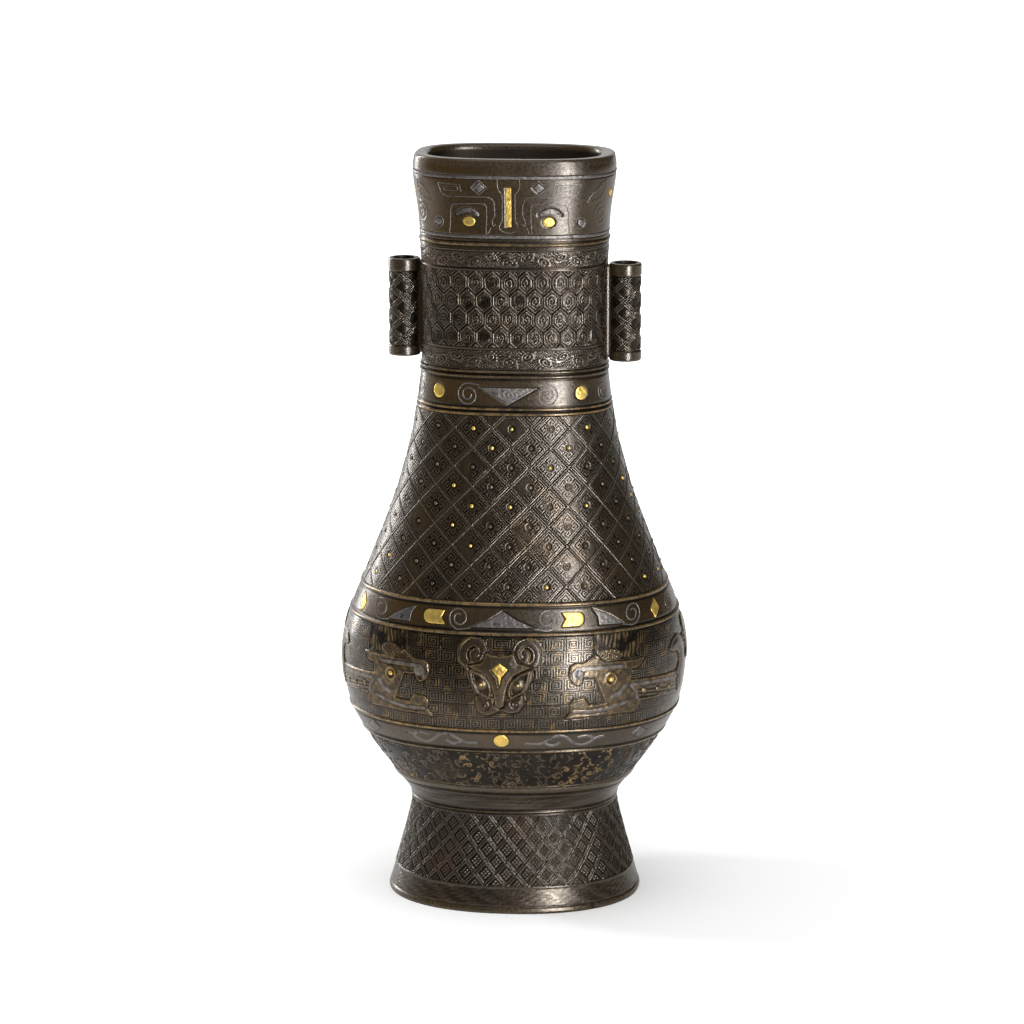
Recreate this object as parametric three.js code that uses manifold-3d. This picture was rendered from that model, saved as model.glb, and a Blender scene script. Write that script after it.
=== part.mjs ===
// Bronze arrow vase: a flattened pear-shaped vessel on a hollow flared foot, with two tubular lugs
// beside its neck and ornaments of gold and silver let into recesses in the bronze.
// Millimetres, +Z up. The front looks along -Y, and the origin is the middle of the foot's edge.

import * as THREE from 'three';
import { mergeVertices } from 'three/addons/utils/BufferGeometryUtils.js';
import Module from 'manifold-3d';

const wasm = await Module();
wasm.setup();

// Driving dimensions of the cast body
const HEIGHT = 300;
const SIDES = 32; // facets round the body
const WALL = 4;
const RIM_WALL = 6;
const FOOT_WALL = 5;
const RIDGE_HEIGHT = 0.7;
const RIDGE_HALF = 0.9;

// Half width of the outline against height
const OUTLINE = [
  [0, 51.2], [12, 47.8], [25, 44.2], [36, 41.7], [42, 42.2], [52, 49.4], [66, 59.2], [80, 66.6],
  [97, 69.1], [112, 67.3], [132, 59.7], [160, 48.9], [184, 41.9], [208, 37.8], [230, 36.4],
  [258, 37.0], [276, 37.9], [292, 40.0], [HEIGHT, 39.5],
];
// Depth of the section over its width, and its exponent: 2 is an ellipse, more is squarer
const DEPTH_RATIO = [[0, 0.853], [100, 0.818], [230, 0.68], [HEIGHT, 0.68]];
const SQUARENESS = [[0, 2.2], [60, 2.32], [110, 2.25], [250, 2.65], [HEIGHT, 2.75]];

// Heights of what divides the bands
const FOOT_LIP = 3.4;
const FOOT_LINE = 10;
const STEM_RIDGES = [39, 45.8, 50.5];
const LOWER_RIDGES = [69, 78.5];
const SHOULDER_RIDGES = [117, 128];
const NECK_RIDGES = [200.5, 215];
const MOUTH_RIDGE = 265.5;
const BORDER_STRIPS = { lower: 269.5, upper: 293 };

// Inlays: how deep they sit, how proud they stand, and the clearance round them
const SEAT_DEPTH = 1.3;
const INLAY_DEPTH = 1;
const PROUD = 0.08;
const CLEARANCE = 0.3;
const STRIP_HALF = 0.6;
const WIRE = 0.8;
const PRISM_REACH = 5;

// Base plate, let into the stem from below against a ledge
const LEDGE = 45.5;
const LEDGE_WIDTH = 3;
const PLATE_THICKNESS = 3;
const PLATE_SEAT = 4.4;

// Tubular lugs
const LUG = { x: 44, radius: 6.15, bore: 4.25, length: 38.8, band: 0.25, left: 218.4, right: 217.5 };
const LUG_SIDES = 18;
const WEB = { depth: 4.6, height: 37.2 };

const bronze = new THREE.MeshStandardMaterial({ color: 0x4a3c28, roughness: 0.42, metalness: 0.85 });
const gold = new THREE.MeshStandardMaterial({ color: 0xd2a42f, roughness: 0.3, metalness: 1 });
const silver = new THREE.MeshStandardMaterial({ color: 0x8e8482, roughness: 0.4, metalness: 1 });

// A smooth curve through a table's [height, value] pairs
function smoothAt(table, z) {
  const last = table.length - 1;
  const slope = (i) => {
    const a = table[Math.max(i - 1, 0)];
    const b = table[Math.min(i + 1, last)];
    return (b[1] - a[1]) / (b[0] - a[0]);
  };
  let i = 0;
  while (i < last - 1 && z > table[i + 1][0]) i += 1;
  const [z0, v0] = table[i];
  const [z1, v1] = table[i + 1];
  const span = z1 - z0;
  const t = THREE.MathUtils.clamp((z - z0) / span, 0, 1);
  const rise = t * t * (3 - 2 * t);
  const bend0 = span * slope(i) * t * (1 - t) * (1 - t);
  const bend1 = span * slope(i + 1) * t * t * (t - 1);
  return v0 + (v1 - v0) * rise + bend0 + bend1;
}

// Point of the outside at a height and turn, moved out by proud. A turn of -PI/2 is the front
function wallPoint(z, turn, proud) {
  const half = smoothAt(OUTLINE, z);
  const power = 2 / smoothAt(SQUARENESS, z);
  const part = (value) => Math.sign(value) * Math.abs(value) ** power;
  const cos = Math.abs(Math.cos(turn)) < 1e-9 ? 0 : Math.cos(turn);
  const sin = Math.abs(Math.sin(turn)) < 1e-9 ? 0 : Math.sin(turn);
  const depth = half * smoothAt(DEPTH_RATIO, z);
  return new THREE.Vector3((half + proud) * part(cos), (depth + proud) * part(sin), z);
}

// The turn that lies u millimetres round the wall from the middle of the front
function turnAt(u, z) {
  const step = Math.sign(u) * 0.002;
  let turn = -Math.PI / 2;
  let here = wallPoint(z, turn, 0);
  let walked = 0;
  while (walked < Math.abs(u)) {
    turn += step;
    const next = wallPoint(z, turn, 0);
    walked += here.distanceTo(next);
    here = next;
  }
  return turn;
}

// Local axes on the wall: x along the band, y up the wall, z out of it
function wallFrame(u, z) {
  const turn = turnAt(u, z);
  const small = 0.05;
  const at = wallPoint(z, turn, 0);
  const along = wallPoint(z, turn + small, 0).sub(wallPoint(z, turn - small, 0)).normalize();
  const rising = wallPoint(z + 1, turn, 0).sub(wallPoint(z - 1, turn, 0)).normalize();
  const out = new THREE.Vector3().crossVectors(along, rising).normalize();
  const up = new THREE.Vector3().crossVectors(out, along);
  return new THREE.Matrix4().makeBasis(along, up, out).setPosition(at);
}

// A closed mesh through rings of the section. Each station is [height, proud], and the last ring
// joins the first, so the stations run up the outside and down the inside
function loft(stations) {
  const positions = [];
  for (const [z, proud] of stations) {
    for (let k = 0; k < SIDES; k += 1) {
      positions.push(...wallPoint(z, (2 * Math.PI * k) / SIDES, proud).toArray());
    }
  }
  const index = [];
  for (let i = 0; i < stations.length; i += 1) {
    const next = (i + 1) % stations.length;
    for (let k = 0; k < SIDES; k += 1) {
      const right = (k + 1) % SIDES;
      const [a, b] = [i * SIDES + k, i * SIDES + right];
      const [c, d] = [next * SIDES + right, next * SIDES + k];
      index.push(a, b, c, a, c, d);
    }
  }
  const geometry = new THREE.BufferGeometry();
  geometry.setAttribute('position', new THREE.Float32BufferAttribute(positions, 3));
  geometry.setIndex(index);
  return geometry;
}

function solidOf(geometry) {
  const bare = geometry.clone();
  bare.deleteAttribute('normal');
  bare.deleteAttribute('uv');
  const merged = mergeVertices(bare, 1e-4);
  const vertProperties = Float32Array.from(merged.attributes.position.array);
  const triVerts = Uint32Array.from(merged.index.array);
  return new wasm.Manifold(new wasm.Mesh({ numProp: 3, vertProperties, triVerts }));
}

function geometryOf(solid) {
  const mesh = solid.getMesh();
  const geometry = new THREE.BufferGeometry();
  geometry.setAttribute('position', new THREE.Float32BufferAttribute(mesh.vertProperties, 3));
  geometry.setIndex(new THREE.Uint32BufferAttribute(mesh.triVerts, 1));
  geometry.computeVertexNormals();
  return geometry;
}

// The body's stations
function ridge(z) {
  return [[z - RIDGE_HALF, 0], [z, RIDGE_HEIGHT], [z + RIDGE_HALF, 0]];
}

function stripGroove(z) {
  const half = STRIP_HALF + CLEARANCE;
  return [[z - half, 0], [z - half, -SEAT_DEPTH], [z + half, -SEAT_DEPTH], [z + half, 0]];
}

function plain(...heights) {
  return heights.map((z) => [z, 0]);
}

const outside = [
  [0, -0.7], [0.7, 0], [FOOT_LIP, 0], [FOOT_LIP + 0.3, -0.6], [FOOT_LINE - 0.5, -0.6],
  [FOOT_LINE, 0], ...plain(19, 29), ...STEM_RIDGES.flatMap(ridge), ...plain(60),
  ...ridge(LOWER_RIDGES[0]), ...ridge(LOWER_RIDGES[1]), ...plain(86, 94, 102, 110),
  ...ridge(SHOULDER_RIDGES[0]), ...ridge(SHOULDER_RIDGES[1]), ...plain(138, 150, 165, 182),
  ...ridge(NECK_RIDGES[0]), ...ridge(NECK_RIDGES[1]), ...plain(238), ...ridge(MOUTH_RIDGE),
  ...stripGroove(BORDER_STRIPS.lower), ...plain(281), ...stripGroove(BORDER_STRIPS.upper),
  [297, 0], [299.2, -0.7], [HEIGHT, -2.2],
];
const inside = [
  [HEIGHT, 0.8 - RIM_WALL], [298.4, -RIM_WALL], [286, -RIM_WALL], [266, -WALL], [226, -WALL],
  [190, -WALL], [158, -WALL], [132, -WALL], [108, -WALL], [84, -WALL],
  [56, -WALL], [LEDGE + 2.5, -WALL - LEDGE_WIDTH],
  [LEDGE, -WALL - LEDGE_WIDTH], [LEDGE, -WALL], [36, -WALL], [18, -WALL], [0, -FOOT_WALL],
];

// A skin of the wall between two depths, with the same facets as the body
function skin(low, high, inner, outer) {
  const heights = [low, ...outside.map(([z]) => z).filter((z) => z > low && z < high), high];
  const levels = [...new Set(heights)];
  const rising = levels.map((z) => [z, outer]);
  const falling = levels.map((z) => [z, inner]).reverse();
  return solidOf(loft([...rising, ...falling]));
}

// Outlines of the inlays, as points in the wall's own plane
function ellipse(width, height, points = 12) {
  return Array.from({ length: points }, (_, k) => {
    const angle = (2 * Math.PI * k) / points;
    return new THREE.Vector2((width / 2) * Math.cos(angle), (height / 2) * Math.sin(angle));
  });
}

function polygon(...pairs) {
  return pairs.map(([x, y]) => new THREE.Vector2(x, y));
}

function lozenge(width, height) {
  return polygon([width / 2, 0], [0, height / 2], [-width / 2, 0], [0, -height / 2]);
}

function bar(width, height) {
  const [x, y] = [width / 2, height / 2];
  return polygon([-x, -y], [x, -y], [x, y], [-x, y]);
}

function swallowTail(length, height) {
  const radius = height / 2;
  const centre = length / 2 - radius;
  const round = Array.from({ length: 5 }, (_, k) => {
    const angle = -Math.PI / 2 + (Math.PI * k) / 4;
    return new THREE.Vector2(centre + radius * Math.cos(angle), radius * Math.sin(angle));
  });
  const tips = polygon([-length / 2, radius], [1 - length / 2, 0], [-length / 2, -radius]);
  return [...round, ...tips];
}

// A strip of even width along a path
function strip(path, width) {
  const sides = path.map((point, i) => {
    const before = path[Math.max(i - 1, 0)];
    const after = path[Math.min(i + 1, path.length - 1)];
    const along = after.clone().sub(before).normalize();
    const across = new THREE.Vector2(-along.y, along.x).multiplyScalar(width / 2);
    return [point.clone().sub(across), point.clone().add(across)];
  });
  return [...sides.map(([right]) => right), ...sides.map(([, left]) => left).reverse()];
}

function spiralPath(outer, inner, turns, steps, start) {
  return Array.from({ length: steps + 1 }, (_, k) => {
    const radius = outer + ((inner - outer) * k) / steps;
    const angle = start + (2 * Math.PI * turns * k) / steps;
    return new THREE.Vector2(radius * Math.cos(angle), radius * Math.sin(angle));
  });
}

function curvePath(points, steps) {
  return new THREE.SplineCurve(polygon(...points)).getPoints(steps);
}

function mirrored(outline) {
  return outline.map((point) => new THREE.Vector2(-point.x, point.y)).reverse();
}

// The outline moved outwards, square to its edges
function grown(outline, distance) {
  const turned = THREE.ShapeUtils.area(outline) < 0 ? -1 : 1;
  return outline.map((point, i) => {
    const before = outline[(i + outline.length - 1) % outline.length];
    const after = outline[(i + 1) % outline.length];
    const first = point.clone().sub(before).normalize();
    const second = after.clone().sub(point).normalize();
    const out = new THREE.Vector2(first.y + second.y, -first.x - second.x).normalize();
    const facing = Math.max(out.x * first.y - out.y * first.x, 0.45);
    return point.clone().addScaledVector(out, (turned * distance) / facing);
  });
}

// A prism that stands on the wall at (u, z), from floor to top along the way out
function prism(outline, u, z, floor = -PRISM_REACH, top = PRISM_REACH) {
  const shape = new THREE.Shape(outline);
  const geometry = new THREE.ExtrudeGeometry(shape, { depth: top - floor, bevelEnabled: false });
  geometry.translate(0, 0, floor);
  geometry.applyMatrix4(wallFrame(u, z));
  return geometry;
}

// Every inlay of one face. u is the way round the wall from the middle of the front, and a pair is
// repeated at -u with its outline mirrored
const CLOUD = [
  curvePath([[-16, 1.1], [-12.6, 0.5], [-9.4, -1.5], [-6, -2.2], [-3, -0.7], [0, 1.9], [3.6, 2.2],
    [7, 0.4], [10.4, -1.2], [16, -1]], 10),
  curvePath([[-11.6, 0.1], [-10, 1.5], [-7.5, 1.7], [-5, 1.2]], 2),
  curvePath([[8.4, -0.6], [6.8, -1.8], [4.4, -1.9], [2, -0.4]], 2),
];
const INLAYS = [
  { name: 'gold_mask_bar', metal: gold, u: 0, z: 281.3, outlines: [bar(2.1, 15.6)] },
  { name: 'gold_mask_eye', metal: gold, pair: true, u: 15.6, z: 275.5, outlines: [ellipse(4.8, 3.8)] },
  { name: 'gold_side_lozenge', metal: gold, pair: true, u: 46, z: 285.5, outlines: [lozenge(4.4, 3.6)] },
  { name: 'gold_neck_roundel', metal: gold, pair: true, u: 29.2, z: 207.6, outlines: [ellipse(5.2, 5.4)] },
  { name: 'gold_swallowtail', metal: gold, pair: true, u: 27.6, z: 122.5, outlines: [swallowTail(8.9, 5.2)] },
  { name: 'gold_shoulder_diamond', metal: gold, pair: true, u: 66.9, z: 122.3, outlines: [lozenge(6, 7.2)] },
  {
    name: 'gold_forehead_kite', metal: gold, u: 0, z: 101.8,
    outlines: [polygon([0, -4.5], [3.2, 2.1], [0, 4.5], [-3.2, 2.1])],
  },
  { name: 'gold_lower_dot', metal: gold, u: 0, z: 74, outlines: [ellipse(5.9, 5.3, 14)] },
  { name: 'silver_mouth_lozenge', metal: silver, pair: true, u: 11.7, z: 289, outlines: [lozenge(5, 4.2)] },
  {
    name: 'silver_neck_triangle', metal: silver, u: 0, z: 207.4,
    outlines: [polygon([0, -4], [11.6, 2.6], [-11.6, 2.6])],
  },
  {
    name: 'silver_shoulder_triangle', metal: silver, u: 0, z: 121.8,
    outlines: [polygon([-12.8, -2.3], [12.8, -2.3], [5.4, 0.6], [0, 3.8], [-5.4, 0.6])],
  },
  {
    name: 'silver_leaf', metal: silver, pair: true, u: 42.5, z: 122.4,
    outlines: [polygon([-7.3, 3.6], [-4.9, 0.8], [-4.2, -2.6], [6.8, -2.9], [0, 1])],
  },
  {
    name: 'silver_inner_spiral', metal: silver, pair: true, u: 17.4, z: 122.7,
    outlines: [strip(spiralPath(4.2, 1.6, -1.2, 10, -Math.PI / 2), WIRE)],
  },
  {
    name: 'silver_outer_spiral', metal: silver, pair: true, u: 53.4, z: 122.7,
    outlines: [strip(spiralPath(4.2, 1.6, -1.2, 10, -Math.PI / 2), WIRE)],
  },
  {
    name: 'silver_cloud_scroll', metal: silver, pair: true, u: -24.8, z: 74,
    outlines: CLOUD.map((path) => strip(path, 1.4)),
  },
  { name: 'silver_lower_diamond', metal: silver, pair: true, u: 58, z: 74, outlines: [lozenge(8.5, 5.6)] },
];
const SKIN_MARGIN = 1.5;
const FLAT_WIDTH = 9.5; // an inlay up to this wide lies on a flat seat, a wider one on a curved seat

function prismsOf(outlines, u, z, floor, top) {
  return outlines.map((outline) => solidOf(prism(outline, u, z, floor, top)))
    .reduce((whole, next) => whole.add(next));
}

function widthOf(outlines) {
  const places = outlines.flat().map((point) => point.x);
  return Math.max(...places) - Math.min(...places);
}

function skinRound(outlines, z, inner, outer) {
  const heights = outlines.flat().map((point) => point.y);
  const low = z + Math.min(...heights) - SKIN_MARGIN;
  const high = z + Math.max(...heights) + SKIN_MARGIN;
  return skin(low, high, inner, outer);
}

function inlaySolid({ outlines, u, z }) {
  const flat = widthOf(outlines) < FLAT_WIDTH;
  const prisms = prismsOf(outlines, u, z, flat ? -INLAY_DEPTH : -PRISM_REACH);
  return skinRound(outlines, z, flat ? -WALL : -INLAY_DEPTH, PROUD).intersect(prisms);
}

function seatSolid({ outlines, u, z }) {
  const wider = outlines.map((outline) => grown(outline, CLEARANCE));
  if (widthOf(outlines) < FLAT_WIDTH) return prismsOf(wider, u, z, -SEAT_DEPTH);
  return skinRound(wider, z, -SEAT_DEPTH, WALL).intersect(prismsOf(wider, u, z));
}

function eachInlay() {
  return INLAYS.flatMap(({ name, metal, pair, u, z, outlines }) => {
    const right = { name: pair ? `${name}_right` : name, metal, u, z, outlines };
    if (!pair) return [right];
    const left = { ...right, name: `${name}_left`, u: -u, outlines: outlines.map(mirrored) };
    return u > 0 ? [left, right] : [{ ...left, name: right.name }, { ...right, name: left.name }];
  });
}

// The ram's mask, cast in relief over the widest part of the belly
const MASK_Z = 100;
const FACE = polygon([5.4, -13.4], [9, -10.4], [10.6, -3.4], [12.7, 1], [12, 4.2], [6.4, 4.6],
  [5.2, 9], [-5.2, 9], [-6.4, 4.6], [-12, 4.2], [-12.7, 1], [-10.6, -3.4], [-9, -10.4], [-5.4, -13.4]);
const HORN = { x: 10.6, y: 10.2, outer: 4.4, inner: 0.9, width: 2, turns: 1.3 };

function maskRelief() {
  const parts = [
    { outline: FACE, proud: 0.9 },
    { outline: polygon([1.8, 3], [3, -8], [5, -12.6], [-5, -12.6], [-3, -8], [-1.8, 3]), proud: 1.6 },
  ];
  for (const side of [-1, 1]) {
    const curl = strip(spiralPath(HORN.outer, HORN.inner, HORN.turns, 9, Math.PI), HORN.width);
    const horn = (side < 0 ? curl : mirrored(curl)).map((p) => {
      return new THREE.Vector2(p.x + side * HORN.x, p.y + HORN.y);
    });
    parts.push({ outline: horn, proud: 1.5 });
  }
  return parts.map(({ outline, proud }) => {
    const raised = solidOf(prism(outline, 0, MASK_Z));
    return skin(MASK_Z - 16, MASK_Z + 17, -1, proud).intersect(raised);
  });
}

function turnedToBack(solid) {
  return solidOf(geometryOf(solid).rotateZ(Math.PI));
}

function vaseBody(seats) {
  let body = solidOf(loft([...outside, ...inside]));
  for (const relief of maskRelief()) {
    body = body.add(relief).add(turnedToBack(relief));
  }
  for (const seat of seats) {
    body = body.subtract(seat).subtract(turnedToBack(seat));
  }
  return geometryOf(body);
}

function borderStrip(z) {
  const [low, high] = [z - STRIP_HALF, z + STRIP_HALF];
  return loft([[low, PROUD], [high, PROUD], [high, -INLAY_DEPTH], [low, -INLAY_DEPTH]]);
}

function basePlate() {
  const top = LEDGE - CLEARANCE;
  const shape = new THREE.Shape();
  const narrowest = 36;
  for (let k = 0; k < SIDES; k += 1) {
    const point = wallPoint(narrowest, (2 * Math.PI * k) / SIDES, -PLATE_SEAT);
    if (k === 0) shape.moveTo(point.x, point.y);
    else shape.lineTo(point.x, point.y);
  }
  const plate = new THREE.ExtrudeGeometry(shape, { depth: PLATE_THICKNESS, bevelEnabled: false });
  plate.translate(0, 0, top - PLATE_THICKNESS);
  return plate;
}

// A tubular lug with a plain band at each end, on a web cut to the neck
function lug(side, base) {
  const { radius, bore, band, length } = LUG;
  const profile = polygon(
    [bore, 0], [radius - 0.3, 0], [radius + band, 0.6], [radius + band, 3.7], [radius, 4],
    [radius, length - 4.9], [radius + band, length - 4.6], [radius + band, length - 0.7],
    [radius - 0.4, length], [bore + 0.3, length], [bore, length - 0.5], [bore, 0],
  );
  const tube = new THREE.LatheGeometry(profile, LUG_SIDES);
  tube.rotateX(Math.PI / 2);
  tube.translate(side * LUG.x, 0, base);
  const outer = LUG.x - bore - 1;
  const inner = smoothAt(OUTLINE, base) - WALL;
  const web = new THREE.BoxGeometry(outer - inner, WEB.depth, WEB.height);
  web.translate((side * (outer + inner)) / 2, 0, base + length / 2);
  const boreClear = new THREE.CylinderGeometry(bore + 0.4, bore + 0.4, length, LUG_SIDES);
  boreClear.rotateX(Math.PI / 2);
  boreClear.translate(side * LUG.x, 0, base + length / 2);
  const bodyClear = skin(base - 2, base + length + 2, -3 * WALL, CLEARANCE);
  const cutWeb = solidOf(web).subtract(bodyClear).subtract(solidOf(boreClear));
  return geometryOf(solidOf(tube).add(cutWeb));
}

function piece(name, geometry, material) {
  const mesh = new THREE.Mesh(geometry, material);
  mesh.name = name;
  return mesh;
}

const vase = new THREE.Group();
const front = new THREE.Group();
const back = new THREE.Group();
back.rotation.z = Math.PI;
vase.add(front, back);

const seats = [];
for (const inlay of eachInlay()) {
  const geometry = geometryOf(inlaySolid(inlay));
  front.add(piece(`${inlay.name}_front`, geometry, inlay.metal));
  back.add(piece(`${inlay.name}_back`, geometry, inlay.metal));
  seats.push(seatSolid(inlay));
}
vase.add(piece('vase_body', vaseBody(seats), bronze));
vase.add(piece('base_plate', basePlate(), bronze));
vase.add(piece('arrow_tube_left', lug(-1, LUG.left), bronze));
vase.add(piece('arrow_tube_right', lug(1, LUG.right), bronze));
vase.add(piece('silver_border_lower', borderStrip(BORDER_STRIPS.lower), silver));
vase.add(piece('silver_border_upper', borderStrip(BORDER_STRIPS.upper), silver));

export default vase;
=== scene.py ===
"""Bronze arrow vase with gold and silver inlay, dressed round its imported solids.

Sizes here are in millimetres until a mesh is made, which is in metres. A place on the wall is
(u, z): u runs along the wall from the middle of a face, to the right of someone who looks at
that face, and z is the height. The back is the front turned half round.
"""

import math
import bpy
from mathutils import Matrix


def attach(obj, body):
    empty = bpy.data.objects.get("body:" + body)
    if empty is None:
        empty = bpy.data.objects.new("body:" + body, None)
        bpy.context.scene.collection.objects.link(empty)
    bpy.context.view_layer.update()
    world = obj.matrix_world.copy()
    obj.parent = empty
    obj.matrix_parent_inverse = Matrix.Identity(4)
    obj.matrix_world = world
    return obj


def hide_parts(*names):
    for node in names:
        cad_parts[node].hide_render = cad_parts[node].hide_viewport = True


bl_info = {
    "name": "Bronze arrow vase",
    "version": (1, 0, 0),
    "blender": (4, 5, 0),
    "location": "3D View > Sidebar > Arrow vase",
    "description": "Dresses the solids of an inlaid bronze arrow vase",
    "category": "Object",
}

import bpy
import numpy as np

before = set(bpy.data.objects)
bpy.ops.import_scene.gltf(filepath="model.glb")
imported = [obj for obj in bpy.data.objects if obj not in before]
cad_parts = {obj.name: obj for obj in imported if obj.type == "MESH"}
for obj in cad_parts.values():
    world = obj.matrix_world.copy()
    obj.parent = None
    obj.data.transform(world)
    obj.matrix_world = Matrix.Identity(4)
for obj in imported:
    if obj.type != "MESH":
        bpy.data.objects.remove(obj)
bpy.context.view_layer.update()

MM = 0.001

# Outline of the cast body: half width, depth over width, and the section's exponent, by height
HEIGHT = 300
OUTLINE = [
    (0, 51.2), (12, 47.8), (25, 44.2), (36, 41.7), (42, 42.2), (52, 49.4), (66, 59.2), (80, 66.6),
    (97, 69.1), (112, 67.3), (132, 59.7), (160, 48.9), (184, 41.9), (208, 37.8), (230, 36.4),
    (258, 37.0), (276, 37.9), (292, 40.0), (HEIGHT, 39.5),
]
DEPTH_RATIO = [(0, 0.853), (100, 0.818), (230, 0.68), (HEIGHT, 0.68)]
SQUARENESS = [(0, 2.2), (60, 2.32), (110, 2.25), (250, 2.65), (HEIGHT, 2.75)]
WALL = 4
RIM_WALL = 6

# Heights where one band of the body ends and the next begins
STEM_FROM = 38.5
WAVES_FROM = 51.5
LOWER_PLAIN_FROM = 68.1
FRIEZE_FROM = 79.4
SHOULDER_FROM = 116.1
FIELD_FROM = 129.0
NECK_BAND_FROM = 198.8
NECK_FROM = 217.0
MOUTH_FROM = 264.6
LIP_FROM = 296.6

BORDER_STRIPS = (269.5, 293)
STRIP_HALF = 0.6
TUBE = {"x": 44, "radius": 6.15, "bore": 4.25, "length": 38.8, "left": 218.4, "right": 217.5, "web": 37.2}

# Level of the ground between raised lines
GROUND = -0.26


def smooth_at(table, z):
    """A smooth curve through a table's (height, value) pairs"""
    heights, values = np.array(table, float).T
    slope = np.gradient(values, heights)
    slope[1:-1] = (values[2:] - values[:-2]) / (heights[2:] - heights[:-2])
    i = np.clip(np.searchsorted(heights, z, side="left") - 1, 0, len(heights) - 2)
    span = heights[i + 1] - heights[i]
    t = np.clip((z - heights[i]) / span, 0, 1)
    rise = t * t * (3 - 2 * t)
    bend = span * (slope[i] * t * (1 - t) ** 2 + slope[i + 1] * t * t * (t - 1))
    return values[i] + (values[i + 1] - values[i]) * rise + bend


class Wall:
    """The outside of the cast body, tabled by height and by the share of a quarter turn"""

    STEP = 0.5
    SHARES = 400

    def __init__(self):
        self.z = np.arange(0, HEIGHT + self.STEP, self.STEP)
        self.half = smooth_at(OUTLINE, self.z)
        self.depth = self.half * smooth_at(DEPTH_RATIO, self.z)
        self.power = smooth_at(SQUARENESS, self.z)
        half, depth, power = (v[:, None] for v in (self.half, self.depth, self.power))
        turn = np.linspace(0, math.pi / 2, 721)[None, :]
        across, ahead = np.sin(turn) / half, np.cos(turn) / depth
        reach = (across**power + ahead**power) ** (-1 / power)
        x, y = reach * np.sin(turn), reach * np.cos(turn)
        arc = np.zeros_like(x)
        arc[:, 1:] = np.cumsum(np.hypot(np.diff(x), np.diff(y)), axis=1)
        self.quarter = arc[:, -1]
        share = np.linspace(0, 1, self.SHARES + 1)
        self.x = np.array([np.interp(share * a[-1], a, row) for a, row in zip(arc, x)])
        self.y = np.array([np.interp(share * a[-1], a, row) for a, row in zip(arc, y)])

    def quarter_at(self, z):
        return np.interp(z, self.z, self.quarter)

    def look_up(self, table, z, share):
        row = np.clip(z / self.STEP, 0, len(self.z) - 1.001)
        column = np.clip(share, 0, 1) * self.SHARES
        i = row.astype(int)
        j = np.minimum(column.astype(int), self.SHARES - 1)
        s, t = row - i, column - j
        low = table[i, j] * (1 - t) + table[i, j + 1] * t
        high = table[i + 1, j] * (1 - t) + table[i + 1, j + 1] * t
        return low * (1 - s) + high * s

    def at(self, u, z, out=0.0, turned=False):
        """Points at (u, z), moved out by so much, square to the wall; and the directions out"""
        u, z = np.broadcast_arrays(np.asarray(u, float), np.asarray(z, float))
        share = np.abs(u) / self.quarter_at(z)
        x = self.look_up(self.x, z, share)
        y = self.look_up(self.y, z, share)
        half, depth, power = (np.interp(z, self.z, v) for v in (self.half, self.depth, self.power))
        grow = np.interp(z, self.z, np.gradient(self.half, self.z))
        deepen = np.interp(z, self.z, np.gradient(self.depth, self.z))
        nx = (x / half) ** (power - 1) / half
        ny = (y / depth) ** (power - 1) / depth
        nz = -((x / half) ** power * grow / half + (y / depth) ** power * deepen / depth)
        side = np.where(u < 0, -1.0, 1.0)
        facing = -1.0 if turned else 1.0
        normal = np.stack([facing * side * nx, -facing * ny, nz], axis=-1)
        normal /= np.linalg.norm(normal, axis=-1, keepdims=True)
        points = np.stack([facing * side * x, -facing * y, z], axis=-1)
        return points + normal * np.asarray(out, float)[..., None], normal


WALL_TABLE = Wall()


def ring(heights, columns):
    """A whole ring of places on the wall: points, flat directions out, u, z and a quarter's length.

    Columns is how many there are in a quarter turn. They start at the middle of the front."""
    z = np.asarray(heights, float)[:, None]
    quarter = WALL_TABLE.quarter_at(z)
    share = np.arange(columns) / columns
    right, left = share * quarter, (share - 1) * quarter
    z = np.broadcast_to(z, right.shape)
    parts = [(right, False), (left, True), (right, True), (left, False)]
    points, out = zip(*(WALL_TABLE.at(u, z, turned=turned) for u, turned in parts))
    points, out = np.concatenate(points, axis=1), np.concatenate(out, axis=1)
    out = out * (1, 1, 0)
    out /= np.linalg.norm(out, axis=2, keepdims=True)
    u = np.concatenate([u for u, _ in parts], axis=1)
    return points, out, u, points[..., 2], np.broadcast_to(quarter, u.shape)


# Shapes of raised lines and plates, from distances in millimetres


def ease(low, high, x):
    """0 below low, 1 above high, and a soft step between"""
    t = np.clip((x - low) / (high - low), 0, 1)
    return t * t * (3 - 2 * t)


def bead(distance, half):
    """1 on a line of this half width, falling to 0 at its flanks"""
    return 1 - ease(half * 0.45, half * 1.5, np.abs(distance))


def trail_gap(x, y, path):
    """Distance to an open path"""
    best = np.full(x.shape, 1e9)
    for (x0, y0), (x1, y1) in zip(path, path[1:]):
        dx, dy = x1 - x0, y1 - y0
        t = np.clip(((x - x0) * dx + (y - y0) * dy) / (dx * dx + dy * dy), 0, 1)
        best = np.minimum(best, (x - x0 - t * dx) ** 2 + (y - y0 - t * dy) ** 2)
    return np.sqrt(best)


def outline_gap(x, y, corners):
    """Distance to a closed outline, below 0 inside it"""
    inside = np.zeros(x.shape, bool)
    for (x0, y0), (x1, y1) in zip(corners, corners[1:] + corners[:1]):
        if y0 != y1:
            crosses = (y0 > y) != (y1 > y)
            inside ^= crosses & (x < (x1 - x0) * (y - y0) / (y1 - y0) + x0)
    gap = trail_gap(x, y, corners + corners[:1])
    return np.where(inside, -gap, gap)


def crest(turns):
    """1 on the raised line in the middle of each turn, and 0 between"""
    return np.clip(0.5 - 0.8 * np.cos(2 * math.pi * turns), 0, 1)


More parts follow.
